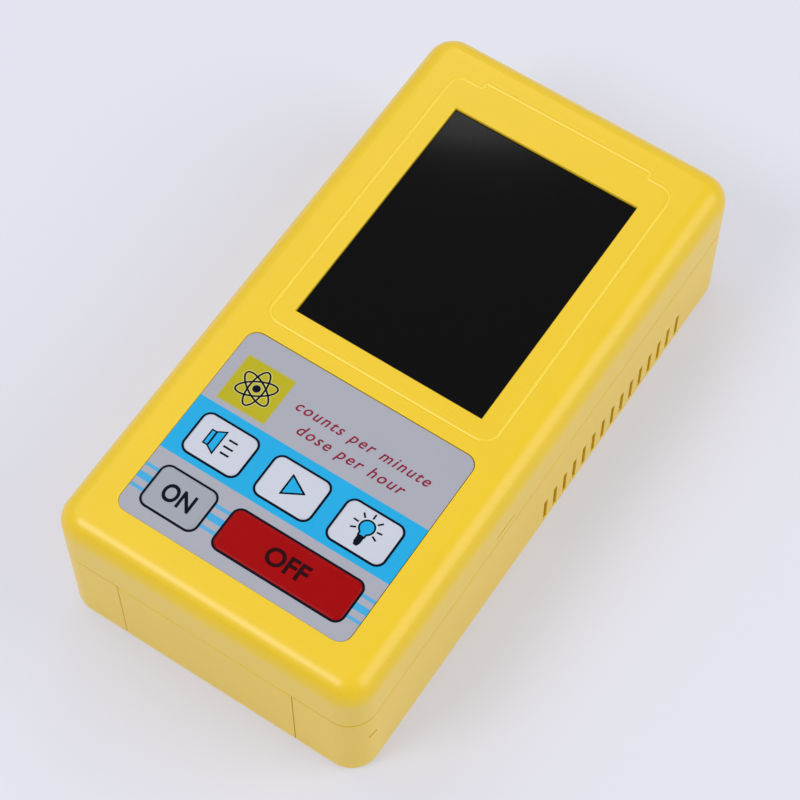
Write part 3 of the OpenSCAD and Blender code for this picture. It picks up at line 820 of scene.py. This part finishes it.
# Short slots in the right side: middle along the case, height above its back, length, width, depth
PRY_SLOT = (-71.9 * MM, 17 * MM, 2.6 * MM, 0.8 * MM, 1.6 * MM)
CATCH_SLOT = (-20.3 * MM, 29.4 * MM, 7 * MM, 0.5 * MM, 0.8 * MM)


def side_slot(y, z, long, tall, deep):
    """Block with rounded edges for a short slot in the right side."""
    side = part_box("lower_shell")[1].x
    low = (side - deep, y - long / 2, z - tall / 2)
    piece = box("slot", low, (side + MM, y + long / 2, z + tall / 2))
    round_edges(piece, sideways, 0.48 * tall, 4)
    return piece


def grown(node, margin, low, high, radius=0.0):
    """Block with a node's outline grown by a margin."""
    corner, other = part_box(node)
    low = (corner.x - margin, corner.y - margin, low)
    high = (other.x + margin, other.y + margin, high)
    return rounded_box("block", low, high, radius) if radius else box("block", low, high)


class COUNTER_OT_upper_shell(bpy.types.Operator):
    """Models the upper half of the case, with its window, label recess and raised line."""

    bl_idname = "counter.upper_shell"
    bl_label = "Upper shell"

    def execute(self, context):
        sizes = context.scene.case_sizes
        keypad = context.scene.keypad_sizes
        foot, top = sizes.split_height + sizes.seam_gap, sizes.height
        roof = top - sizes.top_wall
        shell = within_case("upper_case", 0, foot, top, sizes.corner_radius, 16)
        round_edges(shell, at_height(top), sizes.top_rounding, 14)
        round_edges(shell, at_height(foot), sizes.softness, 2)

        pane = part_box("display_glass")
        ledge = 1.8 * MM  # the pane rests against this much of the case all round
        cut(shell, grown("display_glass", -ledge, foot - MM, top + MM))
        window = [(end.x, end.y) for end in pane]
        round_edges(shell, rim_of(window[0], window[1], top), 0.3 * MM, 3)
        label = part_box("keypad_overlay")
        gap = sizes.clearance
        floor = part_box("keypad_circuit")[0].z
        snug = 0.04 * MM
        recess = (label[0].x - snug, label[0].y - snug), (label[1].x + gap, label[1].y + gap)
        cut(shell, rounded_box("recess", (*recess[0], floor), (*recess[1], top + MM),
                               keypad.label_radius + gap / 2, 10))
        round_edges(shell, rim_of(*recess, top), 0.12 * MM, 2)

        inner = sizes.corner_radius - sizes.wall
        tongue = sizes.tongue_wall + gap
        tail_half, tail_low, tail_high = 6.5 * MM, -19 * MM, -17.6 * MM
        cut(
            shell,
            within_case("cavity", sizes.wall, foot - MM, roof, inner),
            within_case("rebate", sizes.wall - tongue, foot - MM,
                        sizes.split_height + sizes.tongue_height + gap, inner + tongue),
            grown("display_glass", gap, roof - MM, pane[1].z),
            box("tail slot", (-tail_half, tail_low, roof - MM), (tail_half, tail_high, floor + gap)),
        )
        split, display_foot = sizes.split_height, 35.6 * MM
        case_pilot_end, display_pilot_end = 36 * MM, 39.2 * MM
        add(shell, rods(CASE_POSTS, split, roof + gap, CASE_POST_RADIUS))
        add(shell, rods(DISPLAY_POSTS, display_foot, roof + gap, DISPLAY_POST_RADIUS))
        cut(shell, rods(CASE_POSTS, split - MM, case_pilot_end, CASE_PILOT_RADIUS, 20))
        cut(shell, rods(DISPLAY_POSTS, display_foot - MM, display_pilot_end, BOARD_PILOT_RADIUS, 20))
        cut(shell, side_slot(*CATCH_SLOT))

        side, low, high, corner = 29.6, -11.3, 66.3, 3.3
        tab, tab_end, tab_corner = 22.3, 68.2, 0.7
        half_outline = (
            (side, low, corner), (side, high, corner), (tab, high, tab_corner), (tab, tab_end, tab_corner),
        )
        other_half = [(-x, y, radius) for x, y, radius in reversed(half_outline)]
        # the outline starts at its lower left corner
        corners = (other_half[-1], *half_outline, *other_half[:-1])
        outline = filleted(millimetres(corners), 6)
        # the raised line is the cap of a wire that lies mostly inside the wall
        half, rise = sizes.bead_width / 2, sizes.bead_height
        wire = (half * half + rise * rise) / (2 * rise)
        add(shell, line("bead", outline, 2 * wire, wire, top + rise - wire, roundness=6))
        # the second finish is the case colour made lighter on the raised line's top faces, a painted
        # highlight
        paint(shell, finish("case_yellow"), finish("case_worn"))
        pick(shell, "faces", lambda face: face.calc_center_median().z > top + 0.05 * rise)
        take_second_material(shell)
        rest()
        smooth(shell)
        deliver(shell, "case", ("upper_shell",))
        return {"FINISHED"}


class COUNTER_OT_lower_shell(bpy.types.Operator):
    """Models the lower half of the case, with its vents, battery bay and posts."""

    bl_idname = "counter.lower_shell"
    bl_label = "Lower shell"

    def execute(self, context):
        sizes = context.scene.case_sizes
        gap, wall, split = sizes.clearance, sizes.wall, sizes.split_height
        near_corner, far_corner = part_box("lower_shell")
        shell = within_case("lower_case", 0, 0, split, sizes.corner_radius, 16)
        round_edges(shell, at_height(0), sizes.back_rounding, 7)
        round_edges(shell, at_height(split), sizes.softness, 2)
        inner = sizes.corner_radius - wall
        add(shell, within_case("tongue", wall - sizes.tongue_wall, split - 4 * MM,
                               split + sizes.tongue_height, inner + sizes.tongue_wall))
        cut(shell, within_case("cavity", wall, wall, split + 5 * MM, inner))

        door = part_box("battery_door")
        opening, lip_foot = 22.95 * MM, 0.95 * MM
        end, back, floor = near_corner.y - MM, door[1].y + gap, wall + 0.01 * MM
        end_wall = near_corner.y + wall + MM
        cut(
            shell,
            box("opening", (-opening, end, -MM), (opening, back, floor)),
            box("end opening", (-opening, end, -MM), (opening, end_wall, split + 4 * MM)),
            box("lip groove", (door[0].x - gap, end, lip_foot), (door[1].x + gap, back, floor)),
        )
        vents = []
        half, vent_top = sizes.vent_width / 2, sizes.vent_foot + sizes.vent_height
        for i in range(sizes.vent_count):
            y = sizes.vent_middle + (i - (sizes.vent_count - 1) / 2) * sizes.vent_pitch
            vents.append(box("vent", (far_corner.x - wall - MM, y - half, sizes.vent_foot),
                             (far_corner.x + MM, y + half, vent_top)))
        cut(shell, join("vents", vents))

        def vent_rim(edge):
            a, b = ends(edge)
            low, high = sizes.vent_foot - TOUCH, vent_top + TOUCH
            outside = near(a.x, far_corner.x) and near(b.x, far_corner.x)
            level = low < min(a.z, b.z) and max(a.z, b.z) < high
            own = near(a.y, b.y) or (near(a.z, b.z) and near(abs(a.y - b.y), sizes.vent_width))
            inner_end = sizes.vent_middle - 0.5 * sizes.vent_count * sizes.vent_pitch < a.y
            return outside and level and own and inner_end

        round_edges(shell, vent_rim, 0.14 * MM, 2)

        def end_slit(edge):
            a, b = ends(edge)
            beside_door = near(a.y, near_corner.y) and near(abs(a.x), opening)
            return upright(edge) and beside_door and max(a.z, b.z) > 20 * MM

        round_edges(shell, end_slit, sizes.softness, 2)

        # the battery bay: half its width, its two ends, and its walls and roof
        bay, bay_low, bay_high = 24.6 * MM, -73.6 * MM, -16.6 * MM
        bay_wall, roof, roof_top = 1.2 * MM, 18 * MM, 19 * MM
        outer, outer_low, outer_high = bay + bay_wall, bay_low - bay_wall, bay_high + bay_wall
        lap = 0.02 * MM
        foot = wall - lap
        add(
            shell,
            *(box("bay side", (left, outer_low, foot), (right, outer_high, roof_top))
              for left, right in ((-outer, -bay), (bay, outer))),
            box("bay end", (-bay - lap, bay_high, wall + gap), (bay + lap, outer_high, roof_top)),
            box("bay roof", (-bay - lap, bay_low - lap, roof), (bay + lap, bay_high + lap, roof_top)),
            box("end wall", (-outer, outer_low, wall + 0.8 * MM),
                (outer, bay_low, split + sizes.tongue_height)),
            rods(CASE_POSTS, foot, split, CASE_POST_RADIUS),
            rods(BOARD_POSTS, foot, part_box("main_board")[0].z, BOARD_POST_RADIUS),
        )
        board_pilot_end = 11.4 * MM
        cut(
            shell,
            rods(CASE_POSTS, -MM, COUNTERBORE_DEPTH, COUNTERBORE_RADIUS, 40),
            rods(CASE_POSTS, -MM, split + MM, CASE_SCREW_RADIUS, 20),
            rods(BOARD_POSTS, board_pilot_end, 22 * MM, BOARD_PILOT_RADIUS, 20),
            side_slot(*PRY_SLOT),
        )

        def counterbore_rim(edge):
            def on_rim(place):
                reach = math.hypot(abs(place.x) - CASE_POST_X, abs(place.y) - CASE_POST_Y)
                return near(place.z, 0) and near(reach, COUNTERBORE_RADIUS, 3 * TOUCH)

            return all(on_rim(vert.co) for vert in edge.verts)

        round_edges(shell, counterbore_rim, sizes.softness, 2)
        complete(shell, "case", "case_yellow", "lower_shell")
        return {"FINISHED"}


class COUNTER_OT_battery_door(bpy.types.Operator):
    """Models the L-shaped battery door, with its slide lips, finger grooves and foam pad."""

    bl_idname = "counter.battery_door"
    bl_label = "Battery door"

    def execute(self, context):
        sizes = context.scene.case_sizes
        low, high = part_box("battery_door")
        half, back, soft = 22.8 * MM, 2 * MM, 0.25 * MM
        profile = (
            (low.y, 0, sizes.back_rounding), (high.y, 0, soft), (high.y, back, 0),
            (low.y + sizes.wall, back, 0), (low.y + sizes.wall, high.z, 0), (low.y, high.z, soft),
        )
        door = plate("battery_cover", filleted(profile, 7), -half, half)
        door.rotation_euler = (math.pi / 2, 0, math.pi / 2)
        settle(door, "battery_cover")

        def cheek(edge):
            a, b = ends(edge)
            outside = min(a.z, b.z) < MM or (near(a.y, low.y) and near(b.y, low.y))
            return near(abs(a.x), half) and near(a.x, b.x) and outside

        round_edges(door, cheek, 0.15 * MM, 2)
        lip_setback, lip_foot = 0.6 * MM, 1.1 * MM
        add(door, box("lips", (low.x, low.y + lip_setback, lip_foot), (high.x, high.y, back)))
        # finger grooves across the back
        count, pitch, inset_by, reach, width, depth = 5, 2, 9, 9 * MM, 0.9 * MM, 0.5 * MM
        starts = [low.y + (inset_by + pitch * i) * MM for i in range(count)]
        cut(door, join("grooves", [
            rounded_box("groove", (-reach, y, -MM), (reach, y + width, depth), 0.4 * MM, 4)
            for y in starts
        ]))
        complete(door, "door", "case_yellow", "battery_door")

        pad = box("door_foam", *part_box("door_pad"))
        pick(pad, "faces", facing(2, 1))
        inset((0.6 * MM, 0))
        bpy.ops.mesh.extrude_region_move(TRANSFORM_OT_translate={"value": (0, 0, -0.12 * MM)})
        rest()
        soften(pad, 0.1 * MM)
        complete(pad, "door", "foam", "door_pad")
        return {"FINISHED"}


class COUNTER_OT_window(bpy.types.Operator):
    """Models the window pane and the foam seal under it."""

    bl_idname = "counter.window"
    bl_label = "Window"

    def execute(self, context):
        pane = box("window_pane", *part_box("display_glass"))
        soften(pane, 0.15 * MM)
        complete(pane, "case", "window", "display_glass")
        low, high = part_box("display_gasket")
        seal = box("window_seal", low, high)
        cut(seal, grown("display_glass", -1.5 * MM, low.z - MM, high.z + MM))
        soften(seal, 0.12 * MM)
        complete(seal, "case", "foam", "display_gasket")
        return {"FINISHED"}


# ---------- keypad ----------

INK_LAP = 0.01 * MM  # print reaches this far into what it is printed on


def ink_plate(outline, base, sizes, border=0.0, raise_by=0.0):
    """Printed shape. With a border its middle takes the second ink."""
    piece = plate("part", outline, base - INK_LAP, base + sizes.ink + raise_by)
    paint(piece, finish("outline_ink"), finish("blue_ink"))
    if border:
        pick(piece, "faces", facing(2, 1))
        inset((border, 0))
        take_second_material(piece)
        rest()
    return piece


def stroke(start, end, width):
    """Outline of a straight printed line."""
    start, end = Vector(start), Vector(end)
    along = (end - start).normalized() * width / 2
    across = Vector((-along.y, along.x))
    return [start - along + across, start - along - across, end + along - across, end + along + across]


def lettering(name, words, left, right, baseline, surface, ink, cap=None, slant=0.0, weight=0.0,
              spacing=1.0):
    """Printed words, fitted between two sides; cap is the letters' height if it isn't in proportion."""
    base, top = surface - INK_LAP, surface + ink
    rest()
    bpy.ops.object.text_add()
    piece = bpy.context.object
    text = piece.data
    text.body, text.shear, text.offset = words, slant, weight
    text.extrude, text.resolution_u, text.space_character = 0.05, 4, spacing
    bpy.ops.object.convert(target="MESH")
    piece = bpy.context.object
    across = [vert.co.x for vert in piece.data.vertices]
    tallest = max(vert.co.y for vert in piece.data.vertices)
    stretch = (right - left) / (max(across) - min(across))
    piece.scale = (stretch, cap / tallest if cap else stretch, (top - base) / 0.1)
    piece.location = (left - min(across) * stretch, baseline, (top + base) / 2)
    settle(piece, name)
    merge(piece)
    return piece


# The pictograms' points and widths are in millimetres, in the counter's own frame


def speaker_print(base, sizes):
    """Speaker with three bars of sound."""
    case = [(-22.5, -44.95), (-21.0, -44.95), (-21.0, -40.95), (-22.5, -40.95)]
    cone = [(-21.25, -45.0), (-19.0, -46.25), (-19.0, -39.65), (-21.25, -40.9)]
    parts = [
        ink_plate(millimetres(case), base, sizes, 0.36 * MM),
        ink_plate(millimetres(cone), base, sizes, 0.36 * MM, 0.004 * MM),
    ]
    for y, x in ((-41.24, -17.6), (-43.09, -17.85), (-44.72, -17.6)):
        bar = stroke((x, y), (-15.85, y), 0.48)
        parts.append(ink_plate(millimetres(bar), base, sizes))
    return parts


def play_print(base, sizes):
    """Triangle that points right."""
    corners = [(-1.65, -45.95, 0.12), (3.45, -43.05, 0.12), (-1.65, -40.2, 0.12)]
    return [ink_plate(filleted(millimetres(corners), 3), base, sizes, 0.42 * MM)]


def bulb_print(base, sizes):
    """Bulb in its socket, with seven rays."""
    x, y, radius = 18.58, -42.15, 1.95
    start, end = math.radians(-58), math.radians(238)
    turns = [start + (end - start) * k / 28 for k in range(29)]
    glass = [(x + radius * math.cos(turn), y + radius * math.sin(turn)) for turn in turns]
    glass += [(x - 0.98, y - 2.5), (x + 0.98, y - 2.5)]
    socket = [(x - 0.82, -46.0, 0), (x - 0.45, -46.95, 0.3), (x + 0.45, -46.95, 0.3),
              (x + 0.82, -46.0, 0), (x + 0.82, -44.5, 0.2), (x - 0.82, -44.5, 0.2)]
    parts = [
        ink_plate(millimetres(glass), base, sizes, 0.42 * MM),
        ink_plate(filleted(millimetres(socket), 4), base, sizes, 0, 0.004 * MM),
    ]
    for turn in (-117, -84, -43, 0, 43, 84, 117):
        way = Vector((math.cos(math.radians(90 + turn)), math.sin(math.radians(90 + turn))))
        bar = stroke(Vector((x, y)) + way * 2.55, Vector((x, y)) + way * 3.45, 0.42)
        parts.append(ink_plate(millimetres(bar), base, sizes))
    return parts


class COUNTER_OT_label(bpy.types.Operator):
    """Models the printed label with its key openings, pictogram and wording."""

    bl_idname = "counter.label"
    bl_label = "Label"

    def execute(self, context):
        sizes = context.scene.keypad_sizes
        low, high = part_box("keypad_overlay")
        label = rounded_box("printed_label", low, high, sizes.label_radius, 10)
        round_edges(label, at_height(high.z), 0.1 * MM, 2)
        margin = 0.1 * MM
        for key in KEYS:
            cut(label, grown(key, margin, low.z - MM, high.z + MM, sizes.key_radius + margin))
        complete(label, "case", "overlay_print", "keypad_overlay")

        # atom mark, in millimetres: its middle, the nucleus, the orbits' half axes and their line
        x, y, nucleus = -20.3, -27.6, 0.95
        orbit_reach, orbit_waist, orbit_line, points = 4.7, 1.8, 0.5, 48
        mark = []
        # a wider pale layer shows as a halo round the dark one
        for extra, ink, thickness in ((0.34, "pale_ink", 0.008), (0.0, "outline_ink", 0.02)):
            parts = [rod("nucleus", x * MM, y * MM, high.z - INK_LAP, high.z + thickness * MM,
                         (nucleus + extra / 2) * MM, 28)]
            for turn in (30, 90, 150):
                ring = []
                for k in range(points):
                    around = math.tau * k / points
                    spot = Vector((orbit_reach * math.cos(around), orbit_waist * math.sin(around)))
                    spot = Matrix.Rotation(math.radians(turn), 2) @ spot
                    ring.append(((x + spot.x) * MM, (y + spot.y) * MM))
                parts.append(line("orbit", ring, (orbit_line + extra) * MM, thickness * MM, high.z))
            for part in parts:
                paint(part, finish(ink))
            mark += parts
        mark = join("atom_mark", mark)
        smooth(mark, 50)
        deliver(mark, "case")

        # each row's left and right ends and its baseline, in millimetres
        rows = (
            ("counts per minute", -10.6, 24.0, -27.05),
            ("dose per hour", -7.1, 20.4, -31.8),
        )
        words = []
        for text, left, right, baseline in rows:
            words.append(
                lettering("wording", text, left * MM, right * MM, baseline * MM, high.z, sizes.ink,
                          slant=0.3, weight=0.012, spacing=1.22)
            )
        words = join("label_wording", words)
        paint(words, finish("wording_ink"))
        deliver(words, "case")
        return {"FINISHED"}


class COUNTER_OT_keys(bpy.types.Operator):
    """Models the five embossed keys and what is printed on them."""

    bl_idname = "counter.keys"
    bl_label = "Keys"

    def cap(self, node, ground, sizes):
        low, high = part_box(node)
        label_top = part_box("keypad_overlay")[1].z
        rim = label_top + sizes.rim
        thickness, travel, plunger = 0.27 * MM, 0.3 * MM, 2.2 * MM
        under = label_top - thickness
        cap = rounded_box(node + "_cap", (low.x, low.y, under), (high.x, high.y, rim), sizes.key_radius, 10)
        middle = (low + high) / 2
        # the plunger ends a key's travel above the snap dome, so that a pressed key just meets it
        add(cap, rod("plunger", middle.x, middle.y, low.z + travel, under + 0.1 * MM, plunger))
        paint(cap, finish("outline_ink"), finish(ground))
        round_edges(cap, at_height(rim), 0.04 * MM, 1)
        pick(cap, "faces", facing(2, 1, rim))
        inset((sizes.outline, 0))
        take_second_material(cap)
        # shares of the shoulder's width and of the pillow's height, which round the shoulder
        shares = ((0.15, 0.4), (0.25, 0.3), (0.3, 0.2), (0.3, 0.1))
        inset(*((sizes.shoulder * width, sizes.pillow * height) for width, height in shares))
        rest()
        smooth(cap, 30)
        return cap, rim + sizes.pillow

    def execute(self, context):
        sizes = context.scene.keypad_sizes
        prints = {
            "key_sound": ("key_white", speaker_print),
            "key_play": ("key_white", play_print),
            "key_light": ("key_white", bulb_print),
            "key_on": ("key_grey", None),
            "key_off": ("key_red", None),
        }
        # each word's left and right ends, in millimetres, and its ink; both stand on one line
        words = {
            "key_on": ("ON", -22.7, -15.05, "outline_ink"),
            "key_off": ("OFF", 4.1, 14.6, "red_key_ink"),
        }
        baseline, letter_height = -60.55 * MM, 4.3 * MM
        for node, (ground, picture) in prints.items():
            body = node.removeprefix("key_") + "_button"
            cap, base = self.cap(node, ground, sizes)
            deliver(cap, body, (node,))
            if picture:
                mark = join(node + "_print", picture(base, sizes))
            else:
                text, left, right, ink = words[node]
                mark = lettering(node + "_print", text, left * MM, right * MM, baseline, base,
                                 sizes.ink, cap=letter_height, weight=0.026)
                paint(mark, finish(ink))
            deliver(mark, body)
        return {"FINISHED"}


# ---------- inside ----------


class COUNTER_OT_cells(bpy.types.Operator):
    """Models one battery cell and copies it for the other two places."""

    bl_idname = "counter.cells"
    bl_label = "Battery cells"

    def execute(self, context):
        low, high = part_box("battery_cell_left")
        middle = (low + high) / 2
        radius = (high.x - low.x) / 2
        nub, nub_radius = 1.3 * MM, 2.75 * MM
        rest()
        bpy.ops.mesh.primitive_cylinder_add(
            vertices=64, radius=radius, depth=high.y - low.y - nub, rotation=(-math.pi / 2, 0, 0),
            location=(middle.x, middle.y - nub / 2, middle.z),
        )
        cell = settle(bpy.context.object, "cell_left")
        paint(cell, finish("cell_wrap"), finish("contact_nickel"))

        def end_rim(edge):
            a, b = ends(edge)
            return near(a.y, b.y)

        rim = 0.5 * MM
        round_edges(cell, end_rim, rim, 4)
        pick(cell, "faces", facing(1, 1, high.y - nub))
        crimp, groove = 1.2 * MM, 0.2 * MM
        inset((crimp, 0))
        take_second_material(cell)
        to_nub = radius - rim - crimp - groove - nub_radius
        inset((groove, -0.3 * MM), (to_nub, 0), (0.05 * MM, nub), (0.3 * MM, 0.3 * MM))
        rest()
        pick(cell, "faces", facing(1, -1, low.y))
        inset((1.0 * MM, 0))
        take_second_material(cell)
        inset((0.15 * MM, -0.25 * MM), (1.2 * MM, 0), (0.15 * MM, 0.2 * MM))
        rest()
        smooth(cell, 40)
        for place_name, turn in (("middle", math.pi), ("right", 0.0)):
            other = cell.copy()
            other.data = cell.data.copy()
            context.scene.collection.objects.link(other)
            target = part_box("battery_cell_" + place_name)
            centre = (target[0] + target[1]) / 2
            other.matrix_world = (
                Matrix.Translation(centre) @ Matrix.Rotation(turn, 4, "Z") @ Matrix.Translation(-middle)
            )
            settle(other, "cell_" + place_name)
            deliver(other, "case", ("battery_cell_" + place_name,))
        deliver(cell, "case", ("battery_cell_left",))
        return {"FINISHED"}


# ---------- studio ----------


def direction(azimuth, elevation):
    """Way from the counter to a camera or light; azimuth 0 is in front of its lower end."""
    level = math.cos(elevation)
    return Vector((math.sin(azimuth) * level, -math.cos(azimuth) * level, math.sin(elevation)))


class COUNTER_OT_studio(bpy.types.Operator):
    """Makes the floor, the soft lights and the camera."""

    bl_idname = "counter.studio"
    bl_label = "Studio"

    def soft_light(self, name, power, size, azimuth, elevation, distance):
        """Round soft light that looks at the counter; angles are in degrees."""
        lamp = bpy.data.lights.new(name, "AREA")
        lamp.shape, lamp.size, lamp.energy = "DISK", size, power
        holder = bpy.data.objects.new(name, lamp)
        bpy.context.scene.collection.objects.link(holder)
        way = direction(math.radians(azimuth), math.radians(elevation))
        holder.location = way * distance
        holder.rotation_euler = way.to_track_quat("Z", "Y").to_euler()

    def execute(self, context):
        studio = context.scene.counter_studio
        rest()
        bpy.ops.mesh.primitive_plane_add(size=8, location=(0, 0, -0.05 * MM))
        floor = settle(bpy.context.object, "floor")
        # the paper lies on a lit table, which softens the shadows
        paper = [0.6 * level for level in studio.floor]
        grained("floor_paper", paper, 0.8, 0.02, 300, 0.05, 1, 0.0, Specular_IOR_Level=0.2,
                Emission_Color=opaque(studio.floor), Emission_Strength=studio.glow)
        paint(floor, finish("floor_paper"))

        aim = Vector(studio.aim)
        world = bpy.data.worlds.new("room")
        context.scene.world = world
        world.use_nodes = True
        sky = world.node_tree.nodes["Background"].inputs
        sky["Color"].default_value = (0.93, 0.95, 1.0, 1)
        sky["Strength"].default_value = studio.sky
        # each light's size, azimuth, elevation and distance
        lights = {
            "left": (1.2, -95, 54, 1.5),
            "right": (1.2, 112, 38, 1.5),
            "front": (0.6, -26, 50, 1.5),
            "back": (0.5, -150, 45, 1.4),
        }
        for side, where in lights.items():
            self.soft_light(side + " light", getattr(studio, side), *where)

        lens = bpy.data.cameras.new("camera")
        lens.lens, lens.sensor_width, lens.shift_x = studio.lens, 36.0, studio.shift
        lens.clip_start, lens.clip_end = 0.01, 20
        camera = bpy.data.objects.new("camera", lens)
        context.scene.collection.objects.link(camera)
        turn = (
            Matrix.Rotation(studio.azimuth, 4, "Z")
            @ Matrix.Rotation(math.pi / 2 - studio.elevation, 4, "X")
            @ Matrix.Rotation(studio.roll, 4, "Z")
        )
        way = direction(studio.azimuth, studio.elevation)
        camera.matrix_world = Matrix.Translation(aim + way * studio.distance) @ turn
        context.scene.camera = camera
        context.scene.view_settings.view_transform = "Standard"
        return {"FINISHED"}


# ---------- registration ----------

OPERATORS = (
    COUNTER_OT_finishes,
    COUNTER_OT_upper_shell,
    COUNTER_OT_lower_shell,
    COUNTER_OT_battery_door,
    COUNTER_OT_window,
    COUNTER_OT_label,
    COUNTER_OT_keys,
    COUNTER_OT_cells,
    COUNTER_OT_studio,
)
GROUPS = {
    "case_sizes": CaseSizes,
    "keypad_sizes": KeypadSizes,
    "counter_finishes": Finishes,
    "counter_studio": Studio,
}


class COUNTER_PT_panel(bpy.types.Panel):
    """Lists the sizes, colours and pieces of the counter."""

    bl_idname = "COUNTER_PT_panel"
    bl_label = "Radiation Counter"
    bl_space_type = "VIEW_3D"
    bl_region_type = "UI"
    bl_category = "Counter"

    def draw(self, context):
        for title, group in GROUPS.items():
            column = self.layout.column(align=True)
            column.label(text=title.replace("_", " ").capitalize())
            for name in group.__annotations__:
                column.prop(getattr(context.scene, title), name)
        for operator in OPERATORS:
            self.layout.operator(operator.bl_idname)


def register():
    for title, group in GROUPS.items():
        bpy.utils.register_class(group)
        setattr(bpy.types.Scene, title, bpy.props.PointerProperty(type=group))
    for each in (*OPERATORS, COUNTER_PT_panel):
        bpy.utils.register_class(each)


def unregister():
    for each in (COUNTER_PT_panel, *reversed(OPERATORS)):
        bpy.utils.unregister_class(each)
    for title, group in GROUPS.items():
        delattr(bpy.types.Scene, title)
        bpy.utils.unregister_class(group)


def main():
    register()
    for operator in OPERATORS:
        category, name = operator.bl_idname.split(".")
        getattr(getattr(bpy.ops, category), name)()


if __name__ == "__main__":
    main()
